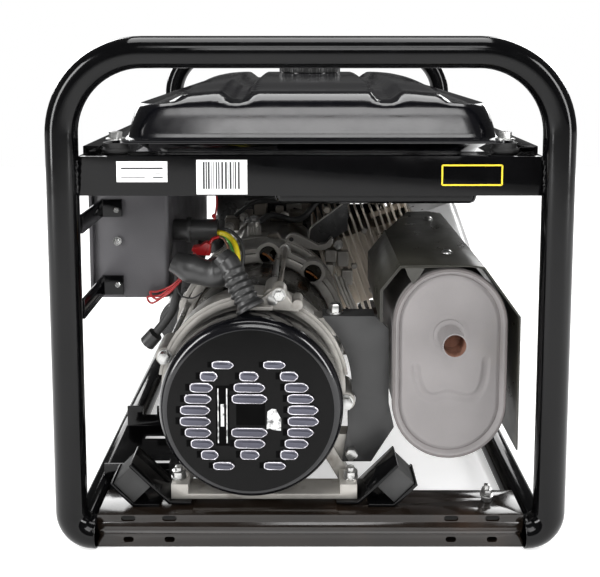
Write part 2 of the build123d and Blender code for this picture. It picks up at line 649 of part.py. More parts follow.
# bent guard over the muffler: low flank on the inner side, flat roof, sloping shoulder, long outer flank
shield_line = [(75, 232), (75, 266), (95, 291.3), (166, 292.2), (182, 290), (220.5, 237), (220.5, 91)]
shield_solid = xz_prism(strip(shield_line, 1.6), -301, -50)
corner_cut = Solid.extrude(Face(Wire.make_polygon([(40, -155, 200), (93, -155, 200), (140, -45, 200),
                                                   (40, -45, 200)])), Vector(0, 0, 90.5))
high_cut = Solid.extrude(Face(Wire.make_polygon([(40, -150, 290), (97, -150, 290), (138, -45, 290),
                                                 (40, -45, 290)])), Vector(0, 0, 10))
with BuildPart() as heat_shield:
    add(shield_solid - corner_cut - high_cut)
    for px, py in ((150, -254), (150, -130)):
        add(zcyl(px, py, 5, 289.05, 292))
save(heat_shield.part, "heat_shield")

with BuildPart() as muffler_bracket:
    plate = xz_prism([(14, 228), (71, 228), (86, 214), (87, 130), (93, 102), (68, 62), (36, 62), (42, 100),
                      (40, 180)], -273, -269.9)
    top_flange = block(14, 71, -269.95, -250, 225, 228)
    add(plate)
    add(top_flange)
    add(ycyl(crank_x, crank_z, 108, -300, -200), mode=Mode.SUBTRACT)
    add(ycyl(*polar(bolt_pcd_r, bolt_angles[2]), 11, -300, -200), mode=Mode.SUBTRACT)
    add(zcyl(28, -261, 4.1, 220, 232), mode=Mode.SUBTRACT)
    add(ycyl(46, 73, 4.1, -280, -260), mode=Mode.SUBTRACT)
save(muffler_bracket.part, "muffler_bracket")

# ---------------------------------------------------------------- fuel tank
tank_half, tank_y0, tank_y1 = 196.0, -300.0, 270.0
tank_cy, tank_len = (tank_y0 + tank_y1) / 2, tank_y1 - tank_y0


def tank_loft(grow, levels):
    """Rounded rectangular sections at several heights, lofted; grow shrinks every section evenly."""
    sections = []
    for z, dx, dy, r in levels:
        w, d = 2 * tank_half - 2 * dx + 2 * grow, tank_len - 2 * dy + 2 * grow
        sections.append(Pos(tank_x, tank_cy, z) * RectangleRounded(w, d, max(r + grow, 4)))
    return loft(sections, ruled=True)


upper_levels = [(426.0, 0, 0, 26), (436.0, 3, 3, 30), (464.0, 11, 11, 36), (472.0, 22, 22, 34),
                (483.0, 92, 110, 30)]
upper_inner = [(425.0, 0, 0, 26), (436.0, 3, 3, 30), (462.0, 11, 11, 36), (469.5, 22, 22, 34),
               (480.0, 92, 110, 30)]
filler_r = 26.0
flange = Pos(tank_x, 0, 424.5) * extrude(RectangleRounded(420, 626, 24), amount=1.5)
upper_skin, upper_room = tank_loft(0, upper_levels), tank_loft(-2.5, upper_inner)
with BuildPart() as tank_upper:
    add(upper_skin)
    add(flange)
    add(zcyl(tank_x, cap_y, filler_r + 9, 478, 486))
    add(upper_room, mode=Mode.SUBTRACT)
    add(zcyl(tank_x, cap_y, filler_r, 470, 490), mode=Mode.SUBTRACT)
    for bx in (-201, 201):
        for by in (-300, 300):
            add(zcyl(bx, by, 4.1, 420, 430), mode=Mode.SUBTRACT)
save(tank_upper.part, "tank_upper")

lower_levels = [(423.2, 0, 0, 26), (412.0, 14, 14, 30), (398.0, 20, 20, 34), (384.0, 32, 32, 34), (378.0, 46, 46, 30)]
lower_inner = [(424.7, 0, 0, 26), (412.7, 14, 14, 30), (399.0, 20, 20, 34), (385.5, 32, 32, 34), (380.0, 46, 46, 30)]
lower_skin, lower_room = tank_loft(-2, lower_levels), tank_loft(-4.5, lower_inner)
lower_flange = Pos(0, 0, -1.5) * flange
with BuildPart() as tank_lower:
    add(lower_skin)
    add(lower_flange)
    add(lower_room, mode=Mode.SUBTRACT)
    for bx in (-201, 201):
        for by in (-300, 300):
            add(zcyl(bx, by, 4.1, 420, 430), mode=Mode.SUBTRACT)
save(tank_lower.part, "tank_lower")

with BuildPart() as fuel_cap:
    add(zcyl(tank_x, cap_y, 43, 486.1, 498))
    fillet(fuel_cap.edges().filter_by(GeomType.CIRCLE).sort_by(Axis.Z)[-1], 4)
    add(zcyl(tank_x, cap_y, filler_r - 0.3, 474, 486.1))
    for k in range(24):
        a = math.radians(15 * k)
        add(zcyl(tank_x + 44 * math.cos(a), cap_y + 44 * math.sin(a), 2.6, 484, 500), mode=Mode.SUBTRACT)
save(fuel_cap.part, "fuel_cap")

# all hexagon-headed fixings: feet, tank, muffler bracket, and the earth stud on the near beam
with BuildPart() as fasteners:
    for my, pad in zip(mount_ys, pad_tops):
        for fx in foot_x:
            add(zcyl(fx, my, 4.0, 35.6, foot_z + pad + 12))
            add(zcyl(fx, my, 8.0, foot_z + pad + 0.02, foot_z + pad + 1.5))
            add(hexz(fx, my, 13, foot_z + pad + 1.5, foot_z + pad + 8))
    for bx in (-201, 201):
        for by in (-300, 300):
            add(zcyl(bx, by, 4.0, 400, 428))
            add(zcyl(bx, by, 10, 426.02, 427.5))
            add(hexz(bx, by, 12, 427.5, 434))
    add(zcyl(28, -261, 4.0, 215, 236))
    add(hexz(28, -261, 12, 228.02, 235))
    add(ycyl(46, 73, 4.0, -276, -262))
    add(hexy(46, 73, 12, -280, -273.02))
    add(zcyl(190, -300, 3.0, 26, 52))
    add(hexz(190, -300, 10, 35.02, 40))
    add(zcyl(190, -300, 7, 40, 41.2))
    add(hexz(190, -300, 10, 42.5, 47.5))
save(fasteners.part, "fasteners")

# ---------------------------------------------------------------- control box on the -X side
box_x0, box_x1 = -245.0, -160.0
box_y0, box_y1 = -235.0, 100.0
box_z0, box_z1 = 236.0, 374.0
with BuildPart() as control_box:
    add(block(box_x0, box_x1, box_y0, box_y1, box_z0, box_z1))
    fillet(control_box.edges().filter_by(Axis.Z).sort_by(Axis.X)[-2:], 6)
    add(block(box_x0 - 1, box_x1 - 2.5, box_y0 + 2.5, box_y1 - 2.5, box_z0 + 2.5, box_z1 - 2.5),
        mode=Mode.SUBTRACT)
    add(xcyl(-200, 306, 9, -170, -150), mode=Mode.SUBTRACT)
save(control_box.part, "control_box")

panel_x0, panel_x1 = -249.0, -245.1
socket_ys = (-120.0, -50.0)
socket_z = 305.0
meter_y = -190.0
toggle_y, toggle_z = 20.0, 310.0
key_y, key_z = 70.0, 340.0
button_y, button_z = 70.0, 280.0
with BuildPart() as panel_face:
    add(block(panel_x0, panel_x1, box_y0 - 4, box_y1 + 4, box_z0 - 2, box_z1 + 2))
    for sy in socket_ys:
        add(xcyl(sy, socket_z, 24.2, -260, -240), mode=Mode.SUBTRACT)
    add(block(-260, -240, meter_y - 24.2, meter_y + 24.2, 281, 329.4), mode=Mode.SUBTRACT)
    add(block(-260, -240, toggle_y - 12.2, toggle_y + 12.2, toggle_z - 22.2, toggle_z + 22.2),
        mode=Mode.SUBTRACT)
    add(xcyl(key_y, key_z, 12.1, -260, -240), mode=Mode.SUBTRACT)
    add(xcyl(button_y, button_z, 8.1, -260, -240), mode=Mode.SUBTRACT)
save(panel_face.part, "panel_face")

with BuildPart() as sockets:
    for sy in socket_ys:
        add(xcyl(sy, socket_z, 24, -250, -212))
        add(block(-252, -249.1, sy - 30, sy + 30, socket_z - 30, socket_z + 30))
        add(xcyl(sy, socket_z, 19.5, -260, -236), mode=Mode.SUBTRACT)
        for py in (-9.5, 9.5):
            add(xcyl(sy + py, socket_z, 2.5, -240, -218), mode=Mode.SUBTRACT)
        for ey in (-27, 27):
            add(block(-260, -252, sy + ey - 3, sy + ey + 3, socket_z + 22, socket_z + 29))
    for sy in socket_ys:
        for ey in (-27, 27):
            add(ycyl(-256, socket_z + 25.5, 1.55, sy + ey - 5, sy + ey + 5), mode=Mode.SUBTRACT)
save(sockets.part, "sockets")

for sy, name in ((socket_ys[0], "socket_lid_1"), (socket_ys[1], "socket_lid_2")):
    with BuildPart() as lid:
        add(block(-256.5, -253, sy - 23.6, sy + 23.6, socket_z - 26, socket_z + 25.5))
        add(ycyl(-256, socket_z + 25.5, 3, sy - 23.6, sy + 23.6))
        add(ycyl(-256, socket_z + 25.5, 1.5, sy - 29, sy + 29))
    save(lid.part, name)

with BuildPart() as panel_instruments:
    add(block(-250, -222, meter_y - 24, meter_y + 24, 281.2, 329.2))
    add(block(-253, -249.15, meter_y - 28, meter_y + 28, 277, 333))
    add(block(-250, -220, toggle_y - 12, toggle_y + 12, toggle_z - 22, toggle_z + 22))
    add(block(-252, -249.15, toggle_y - 15, toggle_y + 15, toggle_z - 26, toggle_z + 26))
    add(block(-256, -240, toggle_y - 7.5, toggle_y + 7.5, toggle_z - 13, toggle_z + 13), mode=Mode.SUBTRACT)
    add(xcyl(key_y, key_z, 12, -251, -214))
    add(xcyl(key_y, key_z, 15, -253, -249.15))
    add(xcyl(key_y, key_z, 7 + bearing_fit, -260, -240), mode=Mode.SUBTRACT)
    add(xcyl(button_y, button_z, 8, -250, -226))
    add(xcyl(button_y, button_z, 11, -252, -249.15))
    add(xcyl(button_y, button_z, 5.05, -260, -236), mode=Mode.SUBTRACT)
save(panel_instruments.part, "panel_instruments")

toggle_bat = Pos(-248, toggle_y, toggle_z) * Rot(0, 22, 0) * Pos(-8, 0, 0) * Box(12, 12, 5)
with BuildPart() as breaker_toggle:
    add(ycyl(-248, toggle_z, 6, toggle_y - 7, toggle_y + 7))
    add(toggle_bat)
save(breaker_toggle.part, "breaker_toggle")

with BuildPart() as engine_key:
    add(xcyl(key_y, key_z, 7, -255, -241))
    add(block(-263.5, -255, key_y - 2, key_y + 2, key_z - 11, key_z + 11))
save(engine_key.part, "engine_key")

with BuildPart() as reset_button:
    add(xcyl(button_y, button_z, 5.0, -257, -240))
save(reset_button.part, "reset_button")

# straps from the near legs to the box
with BuildPart() as box_straps:
    for z0, z1 in ((330, 350), (240, 262)):
        add(block(-236, -233.5, -313, -235.1, z0, z1))
        add(block(-233.5, -212, -238, -235.1, z0, z1))
save(box_straps.part, "box_straps")
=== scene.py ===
"""Looks of the open-frame portable generator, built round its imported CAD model."""
import math
import random

import bmesh
import bpy
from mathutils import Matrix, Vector


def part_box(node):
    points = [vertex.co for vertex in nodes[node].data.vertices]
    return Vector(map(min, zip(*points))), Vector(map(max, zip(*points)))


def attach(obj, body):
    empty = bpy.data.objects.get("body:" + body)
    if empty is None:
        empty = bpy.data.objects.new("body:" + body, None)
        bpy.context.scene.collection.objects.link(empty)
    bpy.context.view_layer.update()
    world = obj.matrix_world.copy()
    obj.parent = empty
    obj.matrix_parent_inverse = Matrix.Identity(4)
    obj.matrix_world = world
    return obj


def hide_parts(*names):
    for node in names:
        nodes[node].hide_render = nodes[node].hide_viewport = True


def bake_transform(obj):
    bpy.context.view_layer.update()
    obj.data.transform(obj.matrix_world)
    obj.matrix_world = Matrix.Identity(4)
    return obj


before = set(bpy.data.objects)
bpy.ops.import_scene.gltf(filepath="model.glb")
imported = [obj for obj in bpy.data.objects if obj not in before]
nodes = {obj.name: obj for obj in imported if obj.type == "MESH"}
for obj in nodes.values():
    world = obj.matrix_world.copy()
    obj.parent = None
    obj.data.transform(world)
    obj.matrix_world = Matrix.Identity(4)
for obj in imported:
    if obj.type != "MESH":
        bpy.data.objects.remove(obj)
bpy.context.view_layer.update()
MM = 0.001
STATIC = "set"
rng = random.Random(7)


def corner(node):
    """Box of a CAD node in millimetres: (low corner, high corner)."""
    low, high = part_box(node)
    return [v / MM for v in low], [v / MM for v in high]


# ---------------------------------------------------------------- materials
def new_material(name):
    mat = bpy.data.materials.new(name)
    mat.use_nodes = True
    return mat, mat.node_tree.nodes, mat.node_tree.links, mat.node_tree.nodes["Principled BSDF"]


def noise_node(tree_nodes, links, scale, detail=3.0, coords=None):
    tex = tree_nodes.new("ShaderNodeTexNoise")
    tex.inputs["Scale"].default_value = scale
    tex.inputs["Detail"].default_value = detail
    if coords is not None:
        links.new(coords.outputs["Object"], tex.inputs["Vector"])
    return tex


def ramp(tree_nodes, links, source, stops):
    node = tree_nodes.new("ShaderNodeValToRGB")
    while len(node.color_ramp.elements) < len(stops):
        node.color_ramp.elements.new(0.5)
    for element, (pos, colour) in zip(node.color_ramp.elements, stops):
        element.position = pos
        element.color = (*colour, 1.0) if len(colour) == 3 else colour
    links.new(source, node.inputs["Fac"])
    return node


def grey(v):
    return (v, v, v)


def surface(name, colour, rough, metallic=0.0, vary=0.15, spots=None, bump=0.0, bump_scale=300.0,
            rough_vary=0.1, scale=18.0, coat=0.0, coat_rough=0.1, specular=0.5):
    """Painted, cast or moulded surface: colour drift, roughness drift and a fine bump."""
    mat, tn, links, bsdf = new_material(name)
    coords = tn.new("ShaderNodeTexCoord")
    drift = noise_node(tn, links, scale, 5.0, coords)
    low = tuple(c * (1 - vary) for c in colour)
    high = tuple(min(c * (1 + vary), 1.0) for c in colour)
    shade = ramp(tn, links, drift.outputs["Fac"], [(0.3, low), (0.7, high)])
    colour_out = shade.outputs["Color"]
    if spots:
        spot_colour, spot_scale, start, end = spots
        spot_noise = noise_node(tn, links, spot_scale, 8.0, coords)
        mask = ramp(tn, links, spot_noise.outputs["Fac"], [(start, grey(0.0)), (end, grey(1.0))])
        mix = tn.new("ShaderNodeMix")
        mix.data_type = "RGBA"
        links.new(mask.outputs["Color"], mix.inputs["Factor"])
        links.new(colour_out, mix.inputs[6])
        mix.inputs[7].default_value = (*spot_colour, 1.0)
        colour_out = mix.outputs[2]
    links.new(colour_out, bsdf.inputs["Base Color"])
    wear = noise_node(tn, links, scale * 2.7, 4.0, coords)
    gloss = ramp(tn, links, wear.outputs["Fac"], [(0.3, grey(max(rough - rough_vary, 0.02))),
                                                  (0.7, grey(min(rough + rough_vary, 1.0)))])
    links.new(gloss.outputs["Color"], bsdf.inputs["Roughness"])
    bsdf.inputs["Metallic"].default_value = metallic
    bsdf.inputs["Specular IOR Level"].default_value = specular
    if coat:
        bsdf.inputs["Coat Weight"].default_value = coat
        bsdf.inputs["Coat Roughness"].default_value = coat_rough
    if bump:
        fine = noise_node(tn, links, bump_scale, 3.0, coords)
        node = tn.new("ShaderNodeBump")
        node.inputs["Strength"].default_value = bump
        node.inputs["Distance"].default_value = 0.0004
        links.new(fine.outputs["Fac"], node.inputs["Height"])
        links.new(node.outputs["Normal"], bsdf.inputs["Normal"])
    return mat


enamel = surface("enamel_black", (0.0015, 0.0015, 0.0017), 0.11, specular=0.22, vary=0.3, rough_vary=0.06,
                 bump=0.12, bump_scale=90)
# black beam enamel with a brown tint and brown patches: painted warm reflections
beam_enamel_reflection = surface("enamel_painted_brown_reflection", (0.008, 0.0055, 0.004), 0.17, vary=0.3, rough_vary=0.06, bump=0.15,
                      bump_scale=70, spots=((0.035, 0.02, 0.013), 7.0, 0.56, 0.72))
tank_paint = surface("tank_black", (0.003, 0.003, 0.004), 0.14, vary=0.2, rough_vary=0.04, bump=0.1,
                     bump_scale=45)
cover_paint = surface("cover_satin", grey(0.003), 0.34, specular=0.1, vary=0.08, rough_vary=0.04, bump=0.25,
                      bump_scale=700)
# lavender grey of the louvre tops is a painted reflection; the louvres are black paint
louvre_top_sheen = surface("louvre_top_painted_sheen", (0.07, 0.07, 0.092), 0.15, metallic=0.55, vary=0.2, rough_vary=0.06)
# light grey louvre rims: painted highlight standing in for reflections on the black-painted rims
louvre_rim_painted_highlight = surface("louvre_rim_painted_highlight", (0.62, 0.60, 0.64), 0.22, metallic=0.7, vary=0.15, rough_vary=0.08)
casting = surface("cast_aluminium", (0.36, 0.345, 0.32), 0.42, metallic=0.55, vary=0.2, bump=0.55,
                  bump_scale=520, spots=((0.10, 0.085, 0.07), 34.0, 0.58, 0.78))
casting_dark = surface("cast_oily", (0.20, 0.18, 0.155), 0.42, metallic=0.5, vary=0.35, bump=0.5,
                       bump_scale=420, spots=((0.03, 0.026, 0.02), 22.0, 0.5, 0.72))
zinc = surface("zinc", (0.50, 0.50, 0.49), 0.30, metallic=0.95, vary=0.15, bump=0.15, bump_scale=900)
steel = surface("machined_steel", (0.46, 0.46, 0.46), 0.32, metallic=0.95, vary=0.1)
muffler_grey = surface("muffler_grey", (0.196, 0.184, 0.183), 0.62, vary=0.14, scale=9.0, bump=0.3,
                       bump_scale=900, spots=((0.20, 0.185, 0.17), 11.0, 0.56, 0.74))
# darker grey: the seam line's own dark colour, and painted shade in the groove
muffler_dark_seam_and_groove_shade = surface("muffler_seam_and_painted_groove_shade", (0.12, 0.108, 0.106), 0.6, vary=0.2, bump=0.3, bump_scale=600)
rust = surface("rust_brown", (0.22, 0.11, 0.075), 0.85, vary=0.4, scale=90, bump=0.7, bump_scale=500)
shield_paint = surface("shield_olive", (0.028, 0.027, 0.022), 0.34, vary=0.3, rough_vary=0.08, bump=0.2,
                       bump_scale=300)
plate_paint = surface("plate_dark", grey(0.036), 0.42, vary=0.08, rough_vary=0.05, bump=0.15,
                      bump_scale=600)
box_plastic = surface("box_dark_grey", (0.048, 0.046, 0.050), 0.5, vary=0.15, scale=12, bump=0.35,
                      bump_scale=800)
rubber = surface("rubber_black", grey(0.022), 0.6, vary=0.2, bump=0.2, bump_scale=500)
boot_rubber = surface("boot_rubber", grey(0.02), 0.36, vary=0.2, bump=0.2, bump_scale=500)
plastic = surface("plastic_black", grey(0.018), 0.42, vary=0.15, bump=0.35, bump_scale=900)
shroud_paint = surface("shroud_black", grey(0.016), 0.3, vary=0.2, bump=0.1, bump_scale=300)
laminations = surface("stator_laminations", (0.016, 0.0145, 0.011), 0.28, metallic=0.3, vary=0.4,
                      bump=0.3, bump_scale=200)
copper = surface("winding_copper", (0.42, 0.17, 0.06), 0.35, metallic=0.8, vary=0.3, bump=0.8,
                 bump_scale=260)
# near-black matte: painted shade in the louvre mouths, and the dark mark and strip on the cover
painted_shade_and_mark_black = surface("painted_shade_and_mark_black", grey(0.0008), 0.8, specular=0.05, vary=0.0)
label_white = surface("label_white", grey(0.82), 0.5, vary=0.02)
label_worn = surface("label_worn", grey(0.62), 0.45, vary=0.1, spots=(grey(0.12), 220.0, 0.5, 0.62))
# near-black ink for printed marks, also used as painted shade in a hole
ink_and_hole_shade = surface("ink_and_hole_shade", grey(0.03), 0.55, vary=0.1)
yellow_ink = surface("yellow_ink", (0.75, 0.55, 0.02), 0.5, vary=0.05)
wire_yellow = surface("wire_yellow", (0.62, 0.50, 0.012), 0.35, vary=0.08)
wire_green = surface("wire_green", (0.07, 0.30, 0.05), 0.35, vary=0.1)
wire_red = surface("wire_red", (0.30, 0.008, 0.01), 0.32, vary=0.15)
tape = surface("loom_tape", grey(0.02), 0.55, vary=0.3, bump=0.7, bump_scale=160)
orange = surface("tap_orange", (0.62, 0.16, 0.02), 0.4, vary=0.08)
glass_face = surface("meter_face", grey(0.72), 0.25, vary=0.02, coat=0.6)

CAD_MATERIALS = {
    enamel: ["hoop_alternator_end", "hoop_starter_end", "base_rails", "tank_crossbars",
             "side_rails", "battery_tray", "mount_plates", "box_straps"],
    beam_enamel_reflection: ["base_beams"],
    tank_paint: ["tank_upper", "tank_lower", "end_cover"],
    casting: ["end_bell", "adapter_bell", "crankcase", "carburettor",
              "piston"],
    zinc: ["fasteners", "through_bolts", "governor_arm"],
    steel: ["rear_bearing", "crankshaft"],
    laminations: ["stator_core", "rotor", "flywheel"],
    copper: ["stator_windings"],
    muffler_grey: ["muffler", "exhaust_pipes"],
    shield_paint: ["heat_shield"],
    plate_paint: ["muffler_bracket"],
    shroud_paint: ["blower_housing", "recoil_housing", "starter_motor"],
    box_plastic: ["control_box", "panel_face"],
    rubber: ["rubber_mounts"],
    boot_rubber: ["cable_boot", "cable_sleeve"],
    plastic: ["rotor_fan", "flywheel_fan", "recoil_pulley", "recoil_handle", "air_filter_box",
              "air_filter_cover", "fuel_cap", "sockets", "socket_lid_1", "socket_lid_2",
              "panel_instruments", "breaker_toggle", "engine_key", "reset_button", "choke_lever",
              "fuel_valve", "spark_plug", "dipstick"],
    orange: ["fuel_valve_lever"],
}
fin_metal = surface("fin_metal", (0.62, 0.56, 0.48), 0.5, metallic=0.15, vary=0.25, bump=0.4,
                    bump_scale=500)
CAD_MATERIALS[fin_metal] = ["cylinder_block", "cylinder_head"]
bright = surface("rocker_silver", grey(0.62), 0.34, metallic=0.45, vary=0.06)
CAD_MATERIALS[bright] = ["rocker_cover"]
SOFT_EDGE = {"hoop_alternator_end": 0, "hoop_starter_end": 0, "base_rails": 0.3}
for material, names in CAD_MATERIALS.items():
    for node_name in names:
        obj = nodes[node_name]
        obj.data.materials.clear()
        obj.data.materials.append(material)
        for poly in obj.data.polygons:
            poly.use_smooth = True
        weld = obj.modifiers.new("weld", "WELD")
        weld.merge_threshold = 0.00001
        width = SOFT_EDGE.get(node_name, 0.5)
        if width:
            bevel = obj.modifiers.new("edge", "BEVEL")
            bevel.width = width * MM
            bevel.segments = 2
            bevel.limit_method = "ANGLE"
            bevel.angle_limit = math.radians(40)
            bevel.harden_normals = True


# ---------------------------------------------------------------- mesh helpers (millimetres)
def add_mesh(name, verts, faces, material, body=STATIC, bevel=0.0, crease=35, smooth=True):
    mesh = bpy.data.meshes.new(name)
    mesh.from_pydata([tuple(c * MM for c in v) for v in verts], [], faces)
    mesh.validate()
    bm = bmesh.new()
    bm.from_mesh(mesh)
    bmesh.ops.recalc_face_normals(bm, faces=bm.faces)
    bm.to_mesh(mesh)
    bm.free()
    if smooth:
        mesh.shade_smooth()
        mesh.set_sharp_from_angle(angle=math.radians(crease))
    obj = bpy.data.objects.new(name, mesh)
    bpy.context.collection.objects.link(obj)
    mesh.materials.append(material)
    if bevel:
        mod = obj.modifiers.new("edge", "BEVEL")
        mod.width = bevel * MM
        mod.segments = 3
        mod.limit_method = "ANGLE"
        mod.angle_limit = math.radians(35)
        mod.harden_normals = True
    if body:
        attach(obj, body)
    return obj


def join(parts):
    """Several (verts, faces) shells as one."""
    verts, faces = [], []
    for part_verts, part_faces in parts:
        base = len(verts)
        verts += part_verts
        faces += [tuple(i + base for i in f) for f in part_faces]
    return verts, faces


def box_shell(low, high):
    verts = [(x, y, z) for x in (low[0], high[0]) for y in (low[1], high[1]) for z in (low[2], high[2])]
    return verts, [(0, 1, 3, 2), (4, 6, 7, 5), (0, 4, 5, 1), (2, 3, 7, 6), (0, 2, 6, 4), (1, 5, 7, 3)]


def lathe_shell(origin, axis, profile, seg=48, cap=True):
    """Shell of revolution: profile holds (distance along the axis, radius)."""
    axis = Vector(axis).normalized()
    side = axis.orthogonal().normalized()
    other = axis.cross(side)
    verts, faces = [], []
    for t, r in profile:
        for k in range(seg):
            a = 2 * math.pi * k / seg
            verts.append(tuple(Vector(origin) + axis * t + (side * math.cos(a) + other * math.sin(a)) * r))
    for i in range(len(profile) - 1):
        for k in range(seg):
            k2 = (k + 1) % seg
            faces.append((i * seg + k, i * seg + k2, (i + 1) * seg + k2, (i + 1) * seg + k))
    if cap:
        faces.append(tuple(range(seg)))
        faces.append(tuple((len(profile) - 1) * seg + k for k in range(seg)))
    return verts, faces


def prism_shell(outline, y0, y1):
    """Outline in X and Z between two Y planes."""
    n = len(outline)
    verts = [(x, y0, z) for x, z in outline] + [(x, y1, z) for x, z in outline]
    faces = [tuple(range(n)), tuple(range(2 * n - 1, n - 1, -1))]
    faces += [(k, (k + 1) % n, n + (k + 1) % n, n + k) for k in range(n)]
    return verts, faces


def smooth_path(points, steps=8):
    """Catmull-Rom curve through given points."""
    pts = [Vector(p) for p in points]
    pts = [pts[0] * 2 - pts[1]] + pts + [pts[-1] * 2 - pts[-2]]
    out = []
    for i in range(1, len(pts) - 2):
        p0, p1, p2, p3 = pts[i - 1:i + 3]
        for k in range(steps):
            t = k / steps
            out.append(0.5 * (2 * p1 + (p2 - p0) * t + (2 * p0 - 5 * p1 + 4 * p2 - p3) * t * t
                              + (3 * p1 - p0 - 3 * p2 + p3) * t ** 3))
    out.append(pts[-2])
    return out


def tube_shell(path, radius, seg=14):
    """Closed tube along a path; radius is a number or a function of the share of the way along."""
    path = [Vector(p) for p in path]
    verts, faces = [], []
    normal = None
    for i, p in enumerate(path):
        ahead = (path[min(i + 1, len(path) - 1)] - path[max(i - 1, 0)]).normalized()
        if normal is None:
            normal = ahead.orthogonal().normalized()
        normal = (normal - ahead * normal.dot(ahead)).normalized()
        other = ahead.cross(normal)
        r = radius(i / (len(path) - 1)) if callable(radius) else radius
        for k in range(seg):
            a = 2 * math.pi * k / seg
            verts.append(tuple(p + (normal * math.cos(a) + other * math.sin(a)) * r))
    for i in range(len(path) - 1):
        for k in range(seg):
            k2 = (k + 1) % seg
            faces.append((i * seg + k, i * seg + k2, (i + 1) * seg + k2, (i + 1) * seg + k))
    faces.append(tuple(range(seg)))
    faces.append(tuple((len(path) - 1) * seg + k for k in range(seg)))
    return verts, faces


def wire(name, points, radius, material, body=STATIC, steps=8):
    return add_mesh(name, *tube_shell(smooth_path(points, steps), radius), material, body, crease=60)


def bolt_shell(base, direction, flats, height, washer=0.0, washer_t=1.2):
    """Hexagon head standing on a washer, with a chamfered top."""
    axis = Vector(direction).normalized()
    parts = []
    start = 0.0
    if washer:
        parts.append(lathe_shell(base, axis, [(0, washer), (washer_t, washer)], 28))
        start = washer_t
    r = flats / math.sqrt(3)
    side = axis.orthogonal().normalized()
    other = axis.cross(side)
    verts, faces = [], []
    levels = [(start, r), (start + height * 0.8, r), (start + height, r * 0.82)]
    for t, rad in levels:
        for k in range(6):
            a = math.pi / 3 * k + 0.3
            verts.append(tuple(Vector(base) + axis * t + (side * math.cos(a) + other * math.sin(a)) * rad))
    for i in range(2):
        for k in range(6):
            faces.append((i * 6 + k, i * 6 + (k + 1) % 6, (i + 1) * 6 + (k + 1) % 6, (i + 1) * 6 + k))
    faces += [tuple(range(6)), tuple(range(12, 18))]
    parts.append((verts, faces))
    return join(parts)


# ---------------------------------------------------------------- shared sizes read from the frame
cover_lo, cover_hi = corner("end_cover")
axis_x, axis_z = (cover_lo[0] + cover_hi[0]) / 2, (cover_lo[2] + cover_hi[2]) / 2
cover_y = cover_lo[1]
muf_lo, muf_hi = corner("muffler")
muf_x, muf_z = (muf_lo[0] + muf_hi[0]) / 2, (muf_lo[2] + muf_hi[2]) / 2
bar_lo = corner("tank_crossbars")[0]
tank_lo, tank_hi = corner("tank_upper")

# ---------------------------------------------------------------- alternator cover louvres
def hood_rings(cx, cz, width, height, levels, tilt=0.0):
    """Pointed hood outline at several (inset, depth) levels; the inset shrinks it on all sides."""
    hw, hh = width / 2, height / 2
    nose = min(hw * 0.42, 5.5)
    outline = [(-hw, -hh * 0.45), (-hw + nose * 0.35, -hh * 0.85), (-hw + nose * 0.9, -hh),
               (hw - nose, -hh), (hw - nose * 0.3, -hh * 0.5), (hw, 0),
               (hw - nose * 0.3, hh * 0.5), (hw - nose, hh), (-hw + nose * 0.9, hh),
               (-hw + nose * 0.35, hh * 0.85), (-hw, hh * 0.45)]
    verts, faces = [], []
    n = len(outline)
    for inset, depth in levels:
        for x, z in outline:
            kx, kz = 1 - inset / hw, 1 - inset / hh
            verts.append((cx + x * kx, cover_y - depth * (1 - tilt * (0.5 - x / width)), cz + z * kz))
    for i in range(len(levels) - 1):
        for k in range(n):
            faces.append((i * n + k, i * n + (k + 1) % n, (i + 1) * n + (k + 1) % n, (i + 1) * n + k))
    return verts, faces, n


LOUVRE_Z = axis_z - 4.0
SIDE = {0: (-39.5, -16.5), 1: (-52, -33.5), 2: (-62.5, -38), 3: (-68.5, -40.5), 4: (-73.3, -41.3)}
MIDDLE = {1: (-11, 9), 2: (-17, 15.8), 3: (-19.8, 18.2)}
rims, tops, mouth_shadows, skirts = [], [], [], []
for row in range(10):
    z = LOUVRE_Z + (4.5 - row) * 12.1
    ring = min(row, 9 - row)
    left = SIDE[ring]
    spans = [left, (-left[1] - 2.5 if ring else 13.2, -left[0] - 2.3)]
    if ring in MIDDLE:
        spans.append(MIDDLE[ring])
    for x0, x1 in spans:
        x0, x1 = x0 + rng.uniform(-0.4, 0.4), x1 + rng.uniform(-0.5, 0.5)
        cx, width = axis_x + (x0 + x1) / 2, x1 - x0
        height = 8.6 if ring == 0 else 10.2
        skirt = hood_rings(cx, z, width + 1.6, height + 1.2, [(0, 0.0), (0.7, 1.6)], 0.2)
        skirts.append(skirt[:2])
        rim = hood_rings(cx, z, width, height, [(0, 1.5), (0.15, 2.3), (0.75, 2.6), (1.05, 2.2)], 0.35)
        rims.append(rim[:2])
        verts, faces, n = hood_rings(cx, z, width, height, [(1.0, 2.25), (1.6, 2.0), (2.6, 2.5),
                                                            (3.4, 2.9)], 0.35)
        faces.append(tuple(3 * n + k for k in range(n)))
        tops.append((verts, faces))
        # thin near-black plate at each louvre's open side: painted shadow of the opening
        mouth_shadows.append(box_shell((axis_x + x0 - 4.6, cover_y - 0.3, z - height * 0.36),
                                (axis_x + x0 + 1, cover_y - 0.05, z + height * 0.36)))
add_mesh("cover_louvre_skirts", *join(skirts), tank_paint, crease=30)
# louvre rims in the painted highlight colour
add_mesh("cover_louvre_rims", *join(rims), louvre_rim_painted_highlight, crease=60)
# louvre tops in the painted reflection colour
add_mesh("cover_louvre_tops", *join(tops), louvre_top_sheen, crease=60)
add_mesh("cover_louvre_mouth_shadows", *join(mouth_shadows), painted_shade_and_mark_black)
face_disc = [(0.0, 87.0), (0.12, 86.7), (0.14, 0.5)]
add_mesh("cover_face", *lathe_shell((axis_x, cover_y, axis_z), (0, -1, 0), face_disc, 96), cover_paint)
add_mesh("cover_centre_mark", *box_shell((axis_x - 15, cover_y - 0.35, LOUVRE_Z - 11),
                                         (axis_x + 15, cover_y, LOUVRE_Z + 13)), painted_shade_and_mark_black, bevel=0.3)

